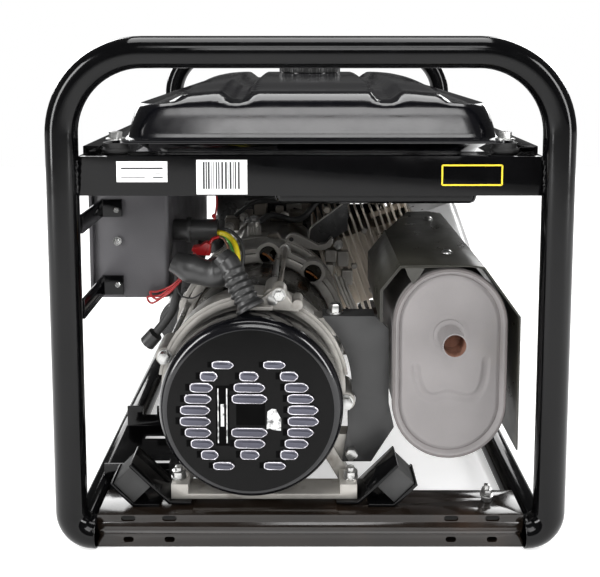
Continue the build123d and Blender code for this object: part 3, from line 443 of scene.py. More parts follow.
# ---------------------------------------------------------------- fuel tank
def rounded_loop(cx, cy, hw, hl, r, side_x=40, side_y=60, arc=12):
    """Points round a rounded rectangle, always the same count, starting at the right side's near end."""
    r = max(min(r, hw - 1, hl - 1), 1.0)
    pts = []
    corners = ((hw - r, hl - r, 0), (-hw + r, hl - r, 90), (-hw + r, -hl + r, 180), (hw - r, -hl + r, 270))
    for q, (px, py, start) in enumerate(corners):
        for k in range(arc):
            a = math.radians(start + 90 * k / (arc - 1))
            pts.append((cx + px + r * math.cos(a), cy + py + r * math.sin(a)))
        nxt = corners[(q + 1) % 4]
        a = math.radians(nxt[2])
        end = (cx + nxt[0] + r * math.cos(a), cy + nxt[1] + r * math.sin(a))
        begin = pts[-1]
        count = side_x if q % 2 == 0 else side_y
        for k in range(1, count):
            t = k / count
            pts.append((begin[0] + (end[0] - begin[0]) * t, begin[1] + (end[1] - begin[1]) * t))
    return pts


def ease(a, b, x):
    t = min(max((x - a) / (b - a), 0.0), 1.0)
    return t * t * (3 - 2 * t)


tank_x = (tank_lo[0] + tank_hi[0]) / 2
seam_z = tank_lo[2]
TANK_NEAR, TANK_FAR = -300.0, 270.0
tank_cy = (TANK_NEAR + TANK_FAR) / 2
tank_hl = (TANK_FAR - TANK_NEAR) / 2
crest_z = seam_z + 50.0
cap_lo, cap_hi = corner("fuel_cap")
cap_x, cap_y = (cap_lo[0] + cap_hi[0]) / 2, (cap_lo[1] + cap_hi[1]) / 2


def pressing(x, y):
    """Height of the pressed panels: raised centre, two valleys, side panels and lower outer facets."""
    side = abs(x - tank_x)
    h = -9.0 * (ease(63, 71, side) - ease(84, 97, side))
    h -= 2.0 * ease(97, 134, side)
    h -= 7.0 * ease(134, 147, side)
    h -= 5.0 * ease(147, 180, side)
    return h


def crown(x, y):
    """Gentle rise of the top towards the filler cap."""
    along = (y - cap_y) / (TANK_FAR - cap_y if y > cap_y else cap_y - TANK_NEAR)
    return 10.0 * (1 - along * along)


tank_rings = []
for cx, cy, hw, hl, r, z in ((tank_x, 0, 210, 313, 24, seam_z), (tank_x, 0, 210, 313, 24, seam_z + 1.6),
                             (tank_x, tank_cy, 197.5, tank_hl + 1.5, 28, seam_z + 1.6),
                             (tank_x, tank_cy, 196, tank_hl, 27, seam_z + 3.5)):
    tank_rings.append([(x, y, z) for x, y in rounded_loop(cx, cy, hw, hl, r)])
for inset, z in ((1.5, 10), (3.5, 18), (6, 26), (8.5, 33), (11, 38), (14, 42), (18, 45.5), (23, 48),
                 (29, 49.5)):
    ring = []
    for x, y in rounded_loop(tank_x, tank_cy, 196 - inset, tank_hl - inset, 27 + inset * 0.4):
        share = ease(9, 20, inset)
        ring.append((x, y, seam_z + z + share * (pressing(x, y) + 0.15 * crown(x, y))))
    tank_rings.append(ring)
inner_loop = rounded_loop(tank_x, tank_cy, 196 - 29, tank_hl - 29, 38)
for k in range(1, 56):
    s = 1 - k / 56
    ring = []
    for x, y in inner_loop:
        px, py = tank_x + (x - tank_x) * s, tank_cy + (y - tank_cy) * s
        to_cap = math.hypot(px - cap_x, py - cap_y)
        share = 0.15 + 0.85 * ease(1.0, 0.7, s) if s > 0.7 else 1.0
        level = crest_z - 0.5 + pressing(px, py) + crown(px, py) * share
        pad = ease(64, 52, to_cap) if to_cap < 64 else 0.0
        ring.append((px, py, level * (1 - pad) + (seam_z + 60.5) * pad))
    tank_rings.append(ring)
n = len(tank_rings[0])
verts = [v for ring in tank_rings for v in ring] + [(tank_x, tank_cy, seam_z + 60)]
faces = []
for i in range(len(tank_rings) - 1):
    for k in range(n):
        faces.append((i * n + k, i * n + (k + 1) % n, (i + 1) * n + (k + 1) % n, (i + 1) * n + k))
last = (len(tank_rings) - 1) * n
faces += [(last + k, last + (k + 1) % n, last + n) for k in range(n)]
faces.append(tuple(range(n - 1, -1, -1)))
tank_skin = add_mesh("tank_skin", verts, faces, tank_paint, crease=50)
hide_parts("tank_upper")
neck = [(seam_z + 57, 41), (seam_z + 61, 41), (seam_z + 61.8, 39), (seam_z + 61.8, 33), (seam_z + 57, 33)]
add_mesh("filler_neck", *lathe_shell((cap_x, cap_y, 0), (0, 0, 1), neck, 64, cap=False), tank_paint)

# ---------------------------------------------------------------- muffler
MUF_W, MUF_H = muf_hi[0] - muf_lo[0], muf_hi[2] - muf_lo[2]
MUF_FRONT, MUF_REAR = muf_lo[1], muf_hi[1]
groove = smooth_path([(-36, 0, -4), (-34, 0, -18), (-28, 0, -31), (-17, 0, -36), (-2, 0, -32.5),
                      (14, 0, -36),
                      (27, 0, -35), (35, 0, -24), (38, 0, -8), (38.5, 0, 4)], 5)


def oval_loop(inset, count=144):
    """Points round the muffler's oval at an inset, in X and Z from its centre."""
    r = MUF_W / 2 - inset
    half = (MUF_H - MUF_W) / 2
    length = 2 * math.pi * r + 4 * half
    pts = []
    for k in range(count):
        s = length * k / count
        if s < math.pi * r:
            a = s / r
            pts.append((r * math.cos(a), half + r * math.sin(a)))
        elif s < math.pi * r + 2 * half:
            pts.append((-r, half - (s - math.pi * r)))
        elif s < 2 * math.pi * r + 2 * half:
            a = math.pi + (s - math.pi * r - 2 * half) / r
            pts.append((r * math.cos(a), -half + r * math.sin(a)))
        else:
            pts.append((r, -half + (s - 2 * math.pi * r - 2 * half)))
    return pts


def face_depth(x, z):
    """How far the pressed end stands out, with the curved groove and the outlet's swage."""
    d = min(math.hypot(x - p.x, z - p.z) for p in groove)
    depth = -1.9 * ease(5.2, 2.2, d) if d < 5.2 else 0.0
    if z > -4:
        depth *= ease(16, -4, z)
    to_outlet = math.hypot(x + 1.5, z - 33)
    depth += 2.0 * ease(22, 15, to_outlet) if to_outlet < 22 else 0.0
    return depth


muf_rings = []
count = 144
for inset, y in ((14, MUF_REAR), (4, MUF_REAR - 1), (2.5, MUF_REAR - 4), (2.2, MUF_FRONT + 12),
                 (0.6, MUF_FRONT + 10),
                 (0, MUF_FRONT + 7), (0.3, MUF_FRONT + 3.5), (1.8, MUF_FRONT + 1.2), (3.6, MUF_FRONT + 0.6),
                 (5.2, MUF_FRONT + 1.6), (6.4, MUF_FRONT + 4.2), (7.6, MUF_FRONT + 5.4),
                 (9.2, MUF_FRONT + 4.6),
                 (11, MUF_FRONT + 3.2)):
    muf_rings.append([(muf_x + x, y, muf_z + z) for x, z in oval_loop(inset, count)])
base_loop = oval_loop(11, count)
for k in range(1, 46):
    s = 1 - k / 46
    dome = 3.2 - 3.4 * (1 - s * s)
    muf_rings.append([(muf_x + x * s, MUF_FRONT + dome - face_depth(x * s, z * s), muf_z + z * s)
                      for x, z in base_loop])
verts = [v for ring in muf_rings for v in ring] + [(muf_x, MUF_FRONT - 0.2, muf_z)]
faces = []
for i in range(len(muf_rings) - 1):
    for k in range(count):
        faces.append((i * count + k, i * count + (k + 1) % count, (i + 1) * count + (k + 1) % count,
                      (i + 1) * count + k))
last = (len(muf_rings) - 1) * count
faces += [(last + k, last + (k + 1) % count, last + count) for k in range(count)]
faces.append(tuple(range(count - 1, -1, -1)))
muffler_skin = add_mesh("muffler_skin", verts, faces, muffler_grey, crease=60)
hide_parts("muffler")
seam_loop = [(muf_x + x, MUF_FRONT + 1.9, muf_z + z) for x, z in oval_loop(1.9, count)]
add_mesh("muffler_seam", *tube_shell(seam_loop + seam_loop[:1], 1.75, 10), muffler_dark_seam_and_groove_shade, crease=60)
# gutter tube along the groove bottom: painted shade
gutter = [(muf_x + x, MUF_FRONT + 6.4, muf_z + z) for x, z in oval_loop(7.6, count)]
add_mesh("muffler_gutter", *tube_shell(gutter + gutter[:1], 1.5, 8), muffler_dark_seam_and_groove_shade, crease=60)
out_x, out_z = 147.0, 218.0
add_mesh("outlet_weld", *lathe_shell((out_x, MUF_FRONT - 1.5, out_z), (0, -1, 0),
                                     [(-3, 17.5), (1.2, 17), (2.6, 15), (3.4, 13)], 40), muffler_grey)
add_mesh("outlet_inside", *lathe_shell((out_x, MUF_FRONT - 29.4, out_z), (0, 1, 0),
                                       [(0, 11.45), (24, 11.4), (24.2, 0.5)], 40, cap=False), rust)

# ---------------------------------------------------------------- labels, blank or with plain marks only
BAR_Y = bar_lo[1] - 0.35


def plate(name, x0, x1, z0, z1, material, lift=0.0, y=None, thick=0.3, body=STATIC):
    y = BAR_Y if y is None else y
    return add_mesh(name, *box_shell((x0, y - lift, z0), (x1, y - lift + thick, z1)), material, body)


plate("serial_label", -194.5, -143.5, 386, 407, label_white)
lines = [box_shell((x, BAR_Y - 0.1, z), (x + w, BAR_Y + 0.1, z + h))
         for x, z, w, h in ((-190, 399, 42, 1.8), (-190, 394.5, 42, 0.4), (-190, 390, 24, 0.9),
                            (-158, 390, 10, 1.2))]
add_mesh("serial_label_rules", *join(lines), ink_and_hole_shade)
plate("stripe_label", -114.5, -63.5, 373.5, 408.5, label_white)
bars = []
x = -108.0
while x < -71:
    w = rng.choice((0.7, 0.9, 1.4, 2.0))
    bars.append(box_shell((x, BAR_Y - 0.1, 379), (x + w, BAR_Y + 0.1, 406.5)))
    x += w + rng.choice((0.8, 1.1, 1.7))
add_mesh("stripe_label_bars", *join(bars), ink_and_hole_shade)


def outline_shell(points, width, y0, y1):
    """Closed outline drawn as a raised line."""
    parts = []
    for (x0, z0), (x1, z1) in zip(points, points[1:] + points[:1]):
        length = math.hypot(x1 - x0, z1 - z0)
        nx, nz = -(z1 - z0) / length * width / 2, (x1 - x0) / length * width / 2
        parts.append(prism_shell([(x0 + nx, z0 + nz), (x1 + nx, z1 + nz), (x1 - nx, z1 - nz),
                                  (x0 - nx, z0 - nz)],
                                 y0, y1))
    return join(parts)


# blank rectangular sticker
tag_x, tag_z = 162.0, 393.0
TAG_HALF_W, TAG_HALF_H = 30.0, 10.0
tag = [(-TAG_HALF_W, TAG_HALF_H), (TAG_HALF_W, TAG_HALF_H), (TAG_HALF_W, -TAG_HALF_H),
       (-TAG_HALF_W, -TAG_HALF_H)]
add_mesh("blank_tag", *outline_shell([(tag_x + x, tag_z + z) for x, z in tag], 1.6, BAR_Y, BAR_Y + 0.3),
         yellow_ink)

# plain strip and torn patch stuck on the alternator cover
plate("cover_strip", axis_x - 36, axis_x - 22, axis_z - 37, axis_z + 28, painted_shade_and_mark_black, y=cover_y - 0.35,
      thick=0.2)
rules = [box_shell((axis_x + dx, cover_y - 0.5, axis_z - 34),
                   (axis_x + dx + 1.2, cover_y - 0.2, axis_z + 25))
         for dx in (-34.3, -25.2)]
rules.append(box_shell((axis_x - 31, cover_y - 0.5, axis_z - 16),
                       (axis_x - 27.5, cover_y - 0.2, axis_z + 8)))
add_mesh("cover_strip_rules", *join(rules), label_worn)
patch = [(16.5, -19), (20, -18), (24, -20), (31.5, -20.5), (31.8, -8), (29, -3), (26.5, 2.5), (22, 3),
         (17.5, 0)]
add_mesh("cover_patch", *prism_shell([(axis_x + x, axis_z + z) for x, z in patch], cover_y - 0.5,
                                     cover_y - 0.2),
         label_worn)

# ---------------------------------------------------------------- cables at the control box
wire("lead_yellow", [(-109, -206, 304), (-97, -212, 303), (-87, -222, 296), (-82, -232, 284),
                     (-82, -240, 270)],
     3.0, wire_yellow)
wire("lead_green", [(-109, -203, 301), (-99, -208, 300), (-91, -219, 292), (-87, -229, 281),
                    (-87, -237, 268)],
     1.7, wire_green)
wire("lead_brown", [(-109, -203, 298), (-101, -207, 297), (-95, -217, 290), (-91, -227, 279),
                    (-91, -235, 268)],
     1.3, rust)
wire("lead_black_arc", [(-109, -203, 307), (-95, -207, 307), (-81, -217, 298), (-76, -227, 283),
                        (-78, -237, 268)],
     2.0, rubber)
red_loops = (((-142, -243, 264), (-158, -241, 249), (-170, -240, 240), (-184, -240, 238), (-179, -240, 231),
              (-164, -241, 241), (-146, -243, 258)),
             ((-140, -244, 268), (-156, -242, 252), (-172, -241, 245), (-181, -241, 244), (-174, -241, 236),
              (-160, -242, 243), (-143, -244, 261)))
for i, loop in enumerate(red_loops):
    wire(f"lead_red_{i}", loop, 1.2, wire_red)
wire("lead_red_up", [(-114, -206, 303), (-112, -200, 318), (-110, -194, 335), (-111, -188, 352),
                     (-110, -184, 376)],
     1.2, wire_red)
tie = [(-113.5 + rng.uniform(-2, 2), -201, 318 + k * 2.2) for k in range(4)]
wire("lead_red_knot", tie, 1.5, wire_red)
connector = [(-133, 293), (-126, 288), (-112, 287), (-111, 300), (-117, 303), (-124, 298), (-132, 297)]
add_mesh("lead_connector", *prism_shell(connector, -246, -234), wire_red, bevel=1.2)
wire("connector_tail", [(-113, -240, 300), (-110, -236, 304), (-104, -230, 305)], 1.8, wire_red)
# smooth elbow and ribbed boot of the alternator lead
elbow = smooth_path([(-150, -262, 286), (-134, -264, 280), (-118, -265, 275), (-104, -266, 274),
                     (-92, -268, 279)], 6)
ribbed = smooth_path([(-97, -268, 294), (-88, -272, 285), (-78, -280, 268), (-70, -287, 255),
                      (-63, -292, 243)], 14)


def elbow_radius(t):
    return 11.5 + 4.0 * ease(0.05, 0.35, t) + 1.2 * math.sin(9 * t) - 2.0 * ease(0.8, 1.0, t)


def rib_radius(t):
    if t < 0.16:
        return 11.0 + 8.0 * t
    if t > 0.86:
        return 12.5 + 3.5 * ease(0.86, 0.95, t)
    swell = 0.5 + 0.5 * math.cos((t - 0.36) * 2 * math.pi / 0.105) if t > 0.34 else 0.3
    return 11.8 + 2.1 * max(swell, 0.0) ** 0.7


boot = add_mesh("boot_skin", *join([tube_shell(elbow, elbow_radius, 32),
                                    tube_shell(ribbed, rib_radius, 36)]),
                boot_rubber, crease=60)
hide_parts("cable_boot")
add_mesh("boot_clip", *box_shell((-76, -292.5, 241.5), (-40, -287, 245.5)), casting, bevel=0.8)
wire("lead_down", [(-150, -228, 268), (-153, -226, 247), (-157, -225, 222), (-166, -225, 206),
                   (-177, -226, 192)],
     5.2, rubber)
add_mesh("lead_down_plug", *join([lathe_shell((-178, -226, 190), (-0.66, 0, -0.75),
                                              [(0, 6), (1, 9), (16, 9.5), (17, 7)], 24)]), plastic)
wire("lead_loop_thin", [(-142, -240, 268), (-150, -239, 254), (-147, -238, 240), (-134, -238, 236),
                        (-122, -240, 243)], 0.9, rubber)
wire("loom_taped", [(-132, -200, 262), (-140, -120, 250), (-150, -30, 246), (-156, 60, 238),
                    (-158, 120, 210)],
     lambda t: 6.0 + 0.35 * math.sin(t * 160), tape, steps=24)
for i in range(3):
    wire(f"loom_branch_{i}", [(-155, 30 + i * 20, 240 - i * 3), (-168, 40 + i * 14, 232 - i * 8),
                              (-176, 60 + i * 12, 205 - i * 9), (-184, 70 + i * 10, 175 - i * 6)], 1.7,
         (wire_red, rubber, rubber)[i])


# ---------------------------------------------------------------- alternator bell rims
RIM_Y = -119.0
RIM_OUTER, RIM_INNER = 111.5, 105.5


def annulus(cx, cz, outer, inner, y0, y1, start=0.0, end=360.0, seg=72):
    """Flat ring, or part of one, in X and Z between two Y planes."""
    verts, faces = [], []
    full = end - start >= 360
    count = seg if full else seg + 1
    for k in range(count):
        a = math.radians(start + (end - start) * k / seg)
        for r in (outer, inner):
            for y in (y0, y1):
                verts.append((cx + r * math.cos(a), y, cz + r * math.sin(a)))
    for k in range(seg):
        a, b = k * 4, ((k + 1) % count) * 4
        faces += [(a, b, b + 2, a + 2), (a + 1, a + 3, b + 3, b + 1), (a, a + 1, b + 1, b),
                  (a + 2, b + 2, b + 3, a + 3)]
    if not full:
        faces += [(0, 2, 3, 1), (4 * seg, 4 * seg + 1, 4 * seg + 3, 4 * seg + 2)]
    return verts, faces


def annulus_x(cy, cz, outer, inner, x0, x1, seg=48):
    """Flat ring facing along X between two X planes."""
    verts, faces = annulus(cy, cz, outer, inner, x0, x1, seg=seg)
    return [(y, x, z) for x, y, z in verts], faces


SHAFT_Z = 149.0
EYE_ANGLES = ((85.0, (-10, 190)), (49.5, (-62, 160)))
EAR_ANGLE = 74


def on_bell(r, deg):
    return axis_x + r * math.cos(math.radians(deg)), SHAFT_Z + r * math.sin(math.radians(deg))


rim_parts = [annulus(axis_x, SHAFT_Z, RIM_OUTER, RIM_INNER, RIM_Y, RIM_Y + 9, start, end, seg)
             for start, end, seg in ((-35, 41, 60), (57.5, 77, 24), (93, 205, 90))]
eye_parts = []
for deg, span in EYE_ANGLES:
    ex, ez = on_bell(103.5, deg)
    rim_parts.append(annulus(ex, ez, 16.2, 11.4, RIM_Y - 0.6, RIM_Y + 10, span[0], span[1], 48))
    eye_parts.append(lathe_shell((ex, RIM_Y + 1, ez), (0, 1, 0), [(0, 11.8), (3, 11.6)], 40))
    rim_parts.append(lathe_shell((ex, RIM_Y + 4, ez), (0, 1, 0), [(0, 16.0), (22, 15.0), (34, 9)], 40))
ear = [on_bell(r, EAR_ANGLE + turn) for r, turn in ((110, 5), (118, 2.5), (121.5, 0), (118, -2.5), (110, -5))]
rim_parts.append(prism_shell(ear, RIM_Y - 1, RIM_Y + 8))
add_mesh("adapter_rim", *join(rim_parts), casting, bevel=0.6, crease=30)
add_mesh("adapter_eyes", *join(eye_parts), laminations)
glints = []
for deg, _ in EYE_ANGLES:
    ex, ez = on_bell(101.5, deg)
    path = smooth_path([(ex - 7, RIM_Y + 0.4, ez + 4), (ex - 1, RIM_Y - 0.2, ez + 1),
                        (ex + 7, RIM_Y + 0.4, ez - 6)], 6)
    glints.append(tube_shell(path, 1.5, 10))
add_mesh("winding_glints", *join(glints), copper)
ex, ez = on_bell(117, EAR_ANGLE)
add_mesh("adapter_ear_bolt", *bolt_shell((ex, RIM_Y - 1, ez), (0, -1, 0), 7, 3, 4.5), zinc)
wire("tie_rod", [(ex, RIM_Y, ez), (ex - 1.5, -190, ez - 1.5), (ex - 3.5, -268, ez - 3.5)], 2.6,
     casting_dark)

# triangular ear and small lug on the end bell's near flange
tri = [(-60, 246), (-43, 258), (-36, 264.5), (-31, 264), (-27, 258), (-20, 247.5), (-12, 243), (-12, 236),
       (-60, 240)]
add_mesh("end_bell_ear", *prism_shell(tri, -283.2, -266), casting, bevel=1.5)
lugs = [lathe_shell((-13.5, -283.3, 244), (0, 1, 0), [(0, 5.4), (0.8, 6), (24, 6)], 28),
        lathe_shell((-33.5, -284, 256), (0, 1, 0), [(0, 7.6), (2, 8.4), (20, 8.4)], 32)]
add_mesh("end_bell_lug", *join(lugs), casting)
add_mesh("end_bell_ear_bolt", *bolt_shell((-33.5, -284, 256), (0, -1, 0), 11, 5, 7.2), zinc)
bead = [annulus(axis_x, SHAFT_Z, 104.5, 100.8, -277, -272, 8, 172, 96)]
add_mesh("end_bell_bead", *join(bead), casting, bevel=0.6)

# ---------------------------------------------------------------- engine details seen past the alternator
flange_line = [(-34, 248), (-31, 254), (-25, 259), (-16, 259), (1, 250.5), (14, 243), (24, 245.5),
               (32, 255), (36, 250), (31, 241), (22, 236.5), (12, 236), (-3, 239), (-16, 246), (-25, 247)]
add_mesh("case_flange", *prism_shell(flange_line, -42, -30.4), casting, bevel=1.2)
# dark disc on the flange: painted shade inside the hole
add_mesh("case_flange_hole", *lathe_shell((-24, -42.4, 252), (0, 1, 0), [(0, 3.2), (1, 3.2)], 24),
         ink_and_hole_shade)
guard = [(1.5, 250), (4, 266), (48, 300), (56, 300), (56, 262), (30, 246), (14, 243)]
add_mesh("guard_plate", *prism_shell(guard, -29, -27), shroud_paint)
guard_edge = smooth_path([(0.5, -29.6, 247), (1, -29.6, 256), (4.5, -29.6, 266), (24, -29.6, 282),
                          (48, -29.6, 300)], 8)
add_mesh("guard_edge", *tube_shell(guard_edge, 1.25, 8), casting)
add_mesh("guard_rivet", *lathe_shell((26, -31, 291), (0, 1, 0), [(0, 4), (1.2, 5), (3, 5)], 24),
         casting_dark)
gusset = [(-69, 236), (-56, 260), (-43, 262), (-30, 240), (-20, 236)]
add_mesh("case_gusset", *prism_shell(gusset, -44, -31), casting_dark, bevel=2)
post = [lathe_shell((-78, -14, 240), (0, 0, 1), [(0, 9.5), (26, 8.6), (28, 7.8), (31, 7.8)], 30)]
for k in range(9):
    a = math.pi + math.pi * k / 8
    px, py = -78 + 8.9 * math.cos(a), -14 + 8.9 * math.sin(a)
    post.append(lathe_shell((px, py, 240), (0, 0, 1), [(0, 1.3), (25, 1.2)], 8))
add_mesh("case_post", *join(post), casting)
add_mesh("case_post_bolt", *join([bolt_shell((-78, -14, 271), (0, 0, 1), 11, 6, 8.5),
                                  bolt_shell((-88, -4, 268), (0, 0, 1), 8, 5, 6)]), zinc)
boss = [lathe_shell((-113.5, -24, 262), (0, 1, 0), [(0, 4.6), (0.5, 6.4), (14, 7)], 28),
        lathe_shell((42.6, -27, 240), (0, 1, 0), [(0, 5.6), (0.8, 6.8), (16, 6.8)], 28),
        lathe_shell((51.5, -16, 168), (0, 1, 0), [(0, 4.8), (0.8, 6.4), (7, 6.4)], 28)]
add_mesh("case_bosses", *join(boss), casting)
add_mesh("case_boss_bolts", *join([bolt_shell((-113.5, -24, 262), (0, -1, 0), 6, 2.5, 0),
                                   bolt_shell((42.6, -27, 240), (0, -1, 0), 7.5, 2.5, 5.6),
                                   bolt_shell((51.5, -16, 168), (0, -1, 0), 9, 5, 6.6)]), zinc)
ledges = []
for x0, x1, z0, z1, y in ((-104, -66, 228, 236, -40), (-120, -92, 236, 242, -34), (-66, -30, 222, 228, -40),
                          (-30, 2, 226, 231, -38), (24, 40, 214, 231, -24), (42, 58, 206, 228, -20),
                          (26, 36, 196, 210, -24), (48, 64, 178, 200, -18)):
    ledges.append(box_shell((x0, y, z0), (x1, y + 14, z1)))
add_mesh("case_ledges", *join(ledges), casting, bevel=1.8)
duct_ribs = []
for k in range(3):
    pts = smooth_path([(38 + 7 * k, -22 + 2 * k, 196 - 4 * k), (43 + 7 * k, -24 + 2 * k, 182 - 5 * k),
                       (50 + 7 * k, -22 + 2 * k, 165 - 5 * k), (58 + 7 * k, -18, 146 - 5 * k)], 6)
    duct_ribs.append(tube_shell(pts, 2.4, 10))
add_mesh("case_ribs", *join(duct_ribs), casting)
wire("vent_hose", [(-72, 20, 262), (-58, 26, 270), (-40, 34, 266), (-22, 40, 260), (-4, 44, 266),
                   (14, 60, 284)],
     4.6, rubber)
wire("fuel_hose", [(60, 96, 334), (40, 70, 322), (8, 60, 300), (-30, 60, 286), (-70, 64, 284),
                   (-96, 80, 276)],
     3.6, rubber)
wire("plug_lead", [(-20, 100, 296), (-46, 80, 288), (-84, 60, 282), (-112, 62, 262)], 3.4, rubber)
wire("throttle_rod", [(-10, 128, 300), (20, 126, 306), (60, 127, 300), (92, 130, 292)], 1.2, zinc)
clutter = []
for x, y, z, w, h in ((-112, 70, 250, 26, 16), (-84, 76, 258, 20, 22), (-60, 84, 246, 34, 14),
                      (-30, 70, 248, 22, 18), (-10, 66, 262, 16, 20),
                      (-50, 60, 264, 12, 10), (-128, 60, 238, 22, 20)):
    clutter.append(box_shell((x, y, z), (x + w, y + 20, z + h)))
add_mesh("case_top_parts", *join(clutter), casting_dark, bevel=2)
top_caps = [lathe_shell((-36, 60, 262), (0, -1, 0), [(0, 7), (8, 7), (9, 5)], 24),
              lathe_shell((-98, 58, 262), (0, -1, 0), [(0, 6), (9, 6), (10, 4)], 24)]
add_mesh("case_top_caps", *join(top_caps), casting)
LEAN = math.radians(20)
pins = []
for s_along, t in ((112, 22), (140, 8), (152, -34), (171, 52), (180, -12), (206, 30)):
    px = axis_x + s_along * math.cos(LEAN) - t * math.sin(LEAN)
    pz = SHAFT_Z + s_along * math.sin(LEAN) + t * math.cos(LEAN)
    pins.append(lathe_shell((px, -13.5, pz), (0, 1, 0), [(0, 3.6), (1.5, 4.2), (9, 4.2)], 20))
add_mesh("fin_pins", *join(pins), casting)

# bracket bolt with a flange, shield screws, shield tab and hem
add_mesh("bracket_top_bolt", *bolt_shell((28, -261, 228.3), (0, 0, 1), 11.5, 8.5, 9.5, 1.6), zinc)
screws = []
for sy in (-254, -94):
    screws.append(lathe_shell((152 if sy < -200 else 158, sy, 293.6), (0, 0, 1),
                              [(0, 6), (1, 5.6), (2.4, 4.4), (3.2, 2.6), (3.3, 0.4)], 28))
add_mesh("shield_screws", *join(screws), zinc)
add_mesh("shield_tab", *prism_shell([(99, 291), (103, 281), (108, 273), (113, 279), (120, 290)],
                                     -301, -299.6), shield_paint)
hem = [(x, -301, z) for x, z in ((75.5, 232), (75.5, 266), (95, 291), (166, 292.4),
                                 (182, 290.3), (220.8, 237), (220.8, 92))]
add_mesh("shield_front_hem", *tube_shell(hem, 0.9, 8), shield_paint)

# weld beads where the crossbar and the beam meet the hoop
beads = []
for side in (-1, 1):
    for z0, z1, x, y in ((376, 408, 234.0, -327), (4, 30, 232, -331)):
        pts = [(side * x + rng.uniform(-0.5, 0.5), y + rng.uniform(-0.4, 0.4), z0 + (z1 - z0) * k / 14)
               for k in range(15)]
        beads.append(tube_shell(pts, lambda t: 2.1 + 0.5 * math.sin(t * 60), 10))
add_mesh("weld_beads", *join(beads), enamel)

# rubber grommets under the tank flange
grommets = []
for bx in (-201, 201):
    for by in (-300, 300):
        grommets.append(lathe_shell((bx, by, 412.3), (0, 0, 1),
                                    [(0, 11), (1.5, 14), (4, 14.5), (6.5, 12), (9, 12.5), (11, 13)], 32))
add_mesh("tank_grommets", *join(grommets), rubber)

# ---------------------------------------------------------------- tank pan, shroud flap, box screws
add_mesh("tank_pan", *box_shell((-37, -290, 355), (177, 200, 378)), enamel, bevel=8)
add_mesh("shroud_flap", *box_shell((44, 98, 222), (116, 100, 272)), shroud_paint, bevel=0.6)
add_mesh("box_screws", *join([bolt_shell((x, -236.5, z), (0, -1, 0), 6, 2.5, 5, 0.8)
                              for x, z in ((-218, 338), (-218, 302), (-218, 252))]), zinc)

# ---------------------------------------------------------------- recoil rope
grip_lo, grip_hi = corner("recoil_handle")
grip_x, grip_y, grip_z = ((a + b) / 2 for a, b in zip(grip_lo, grip_hi))
rope_start = 244.0
ROPE_R = 2.1
rope_path = [(grip_x, rope_start + (grip_y - rope_start) * k / 60, grip_z) for k in range(61)]
rope = add_mesh("recoil_rope", *tube_shell(rope_path, ROPE_R, 12), tape, body=None)
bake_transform(rope)

# ---------------------------------------------------------------- control panel dressing
FACE_X = -253.3
dial = [lathe_shell((FACE_X, -190, 309), (-1, 0, 0), [(0, 21), (0.5, 20.6), (0.6, 0.4)], 48)]
add_mesh("meter_dial", *join(dial), glass_face)
ticks = []
for k in range(13):
    a = math.radians(20 + 140 * k / 12)
    cy, cz, long = -190 + 17 * math.cos(a), 303 + 17 * math.sin(a), (3.4 if k % 3 == 0 else 2.0)
    ticks.append(tube_shell([(FACE_X - 0.75, cy, cz),
                             (FACE_X - 0.75, cy - long * math.cos(a), cz - long * math.sin(a))], 0.35, 6))
ticks.append(tube_shell([(FACE_X - 0.8, -190, 300), (FACE_X - 0.8, -198, 315)], 0.45, 6))
add_mesh("meter_scale", *join(ticks), ink_and_hole_shade)
add_mesh("meter_bezel", *annulus_x(-190, 309, 23, 20.4, FACE_X - 1.6, FACE_X), plastic, bevel=0.4)
panel_screws = []
for py in (-222, -86, 86):
    for pz in (243, 345):
        panel_screws.append(lathe_shell((-249.1, py, pz), (-1, 0, 0),
                                        [(0, 3.6), (0.8, 3.4), (1.8, 2.2), (1.9, 0.3)], 20))
add_mesh("panel_screws", *join(panel_screws), zinc)
panel_rules = [box_shell((-249.45, y0, z), (-249.05, y1, z + 0.8))
               for y0, y1, z in ((-158, -14, 344), (-158, -14, 258), (-6, 44, 346), (-6, 44, 270),
                                 (52, 88, 318))]
add_mesh("panel_rules", *join(panel_rules), label_white)
SOCKET_YS = (-120.0, -50.0)
for i, sy in enumerate(SOCKET_YS):
    lid_pad = box_shell((-257.3, sy - 17, 284), (-256.4, sy + 17, 322))
    add_mesh(f"socket_lid_pad_{i + 1}", *lid_pad, plastic, body=f"lid_{i + 1}", bevel=0.4)

# ---------------------------------------------------------------- camera, light, floor
PITCH_DEG = 4.87
LENS_MM = 43.98
SHIFT_X, SHIFT_Y = -0.005, -0.29841
pitch = math.radians(PITCH_DEG)
cam_data = bpy.data.cameras.new("camera")
cam_data.sensor_width = 36.0
cam_data.lens = LENS_MM
cam_data.shift_x, cam_data.shift_y = SHIFT_X, SHIFT_Y
cam = bpy.data.objects.new("camera", cam_data)
cam.location = (-0.0076, -1.0515, 0.521)
cam.rotation_euler = (math.pi / 2 - pitch, 0, 0)
bpy.context.collection.objects.link(cam)
bpy.context.scene.camera = cam
cam_data.clip_start = 0.01

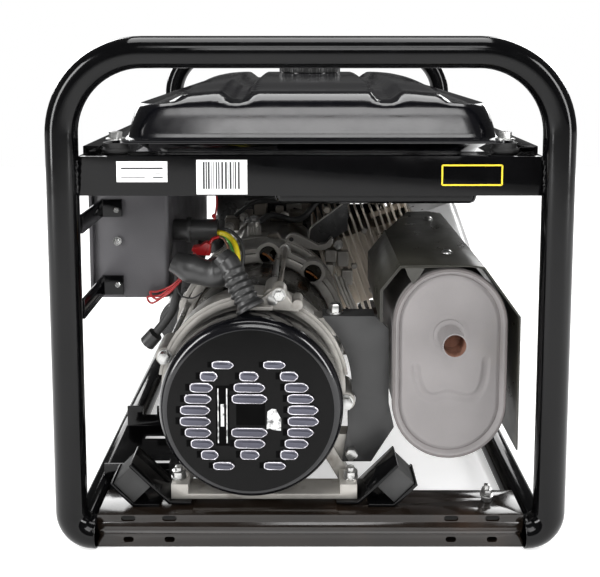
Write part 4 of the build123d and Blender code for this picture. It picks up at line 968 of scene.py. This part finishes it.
BACKDROP_LIGHT, ROOM_LIGHT = 1.0, 0.10
world = bpy.data.worlds.new("studio")
bpy.context.scene.world = world
world.use_nodes = True
world_nodes, world_links = world.node_tree.nodes, world.node_tree.links
backdrop = world_nodes["Background"]
backdrop.inputs["Color"].default_value = (1, 1, 1, 1)
backdrop.inputs["Strength"].default_value = BACKDROP_LIGHT
room = world_nodes.new("ShaderNodeBackground")
room.inputs["Color"].default_value = (1, 1, 1, 1)
room.inputs["Strength"].default_value = ROOM_LIGHT
seen = world_nodes.new("ShaderNodeLightPath")
pick = world_nodes.new("ShaderNodeMixShader")
world_links.new(seen.outputs["Is Camera Ray"], pick.inputs[0])
world_links.new(room.outputs[0], pick.inputs[1])
world_links.new(backdrop.outputs[0], pick.inputs[2])
world_links.new(pick.outputs[0], world_nodes["World Output"].inputs["Surface"])
bpy.context.scene.view_settings.view_transform = "Standard"


def softbox(name, location, target, size, power):
    data = bpy.data.lights.new(name, "AREA")
    data.shape = "RECTANGLE"
    data.size, data.size_y = size
    data.energy = power
    light = bpy.data.objects.new(name, data)
    light.location = location
    direction = Vector(target) - Vector(location)
    light.rotation_euler = direction.to_track_quat("-Z", "Y").to_euler()
    bpy.context.collection.objects.link(light)


softbox("strip_left", (-1.9, -1.3, 0.9), (0, -0.2, 0.25), (0.45, 1.7), 42)
softbox("strip_right", (1.9, -1.3, 0.9), (0, -0.2, 0.25), (0.45, 1.7), 36)
softbox("front_high", (0.1, -2.4, 2.1), (0, -0.2, 0.25), (1.6, 0.6), 20)
softbox("tank_glow", (0.12, -2.3, 1.3), (0, -0.3, 0.45), (1.1, 0.5), 13)
softbox("top", (0, 0.0, 2.1), (0, 0, 0.3), (1.5, 1.5), 48)
softbox("rear_left", (-1.3, 1.7, 1.2), (0, 0.2, 0.25), (0.7, 1.3), 22)
softbox("rear_right", (1.3, 1.7, 1.2), (0, 0.2, 0.25), (0.7, 1.3), 22)

floor_mesh = bpy.data.meshes.new("floor")
FLOOR_SIDE, FLOOR_BACK, FLOOR_GLOW = 6.0, 2.1, 0.42
floor_mesh.from_pydata([(-FLOOR_SIDE, -FLOOR_SIDE, 0), (FLOOR_SIDE, -FLOOR_SIDE, 0),
                        (FLOOR_SIDE, FLOOR_BACK, 0), (-FLOOR_SIDE, FLOOR_BACK, 0)], [], [(0, 1, 2, 3)])
floor = bpy.data.objects.new("floor", floor_mesh)
floor.location = (0, 0, -0.0005)
bpy.context.collection.objects.link(floor)
floor_mat = surface("floor_pale", grey(0.86), 0.7, vary=0.005)
floor_shader = next(n for n in floor_mat.node_tree.nodes if n.type == "BSDF_PRINCIPLED")
floor_shader.inputs["Emission Color"].default_value = (1, 1, 1, 1)
floor_shader.inputs["Emission Strength"].default_value = FLOOR_GLOW
floor_mesh.materials.append(floor_mat)
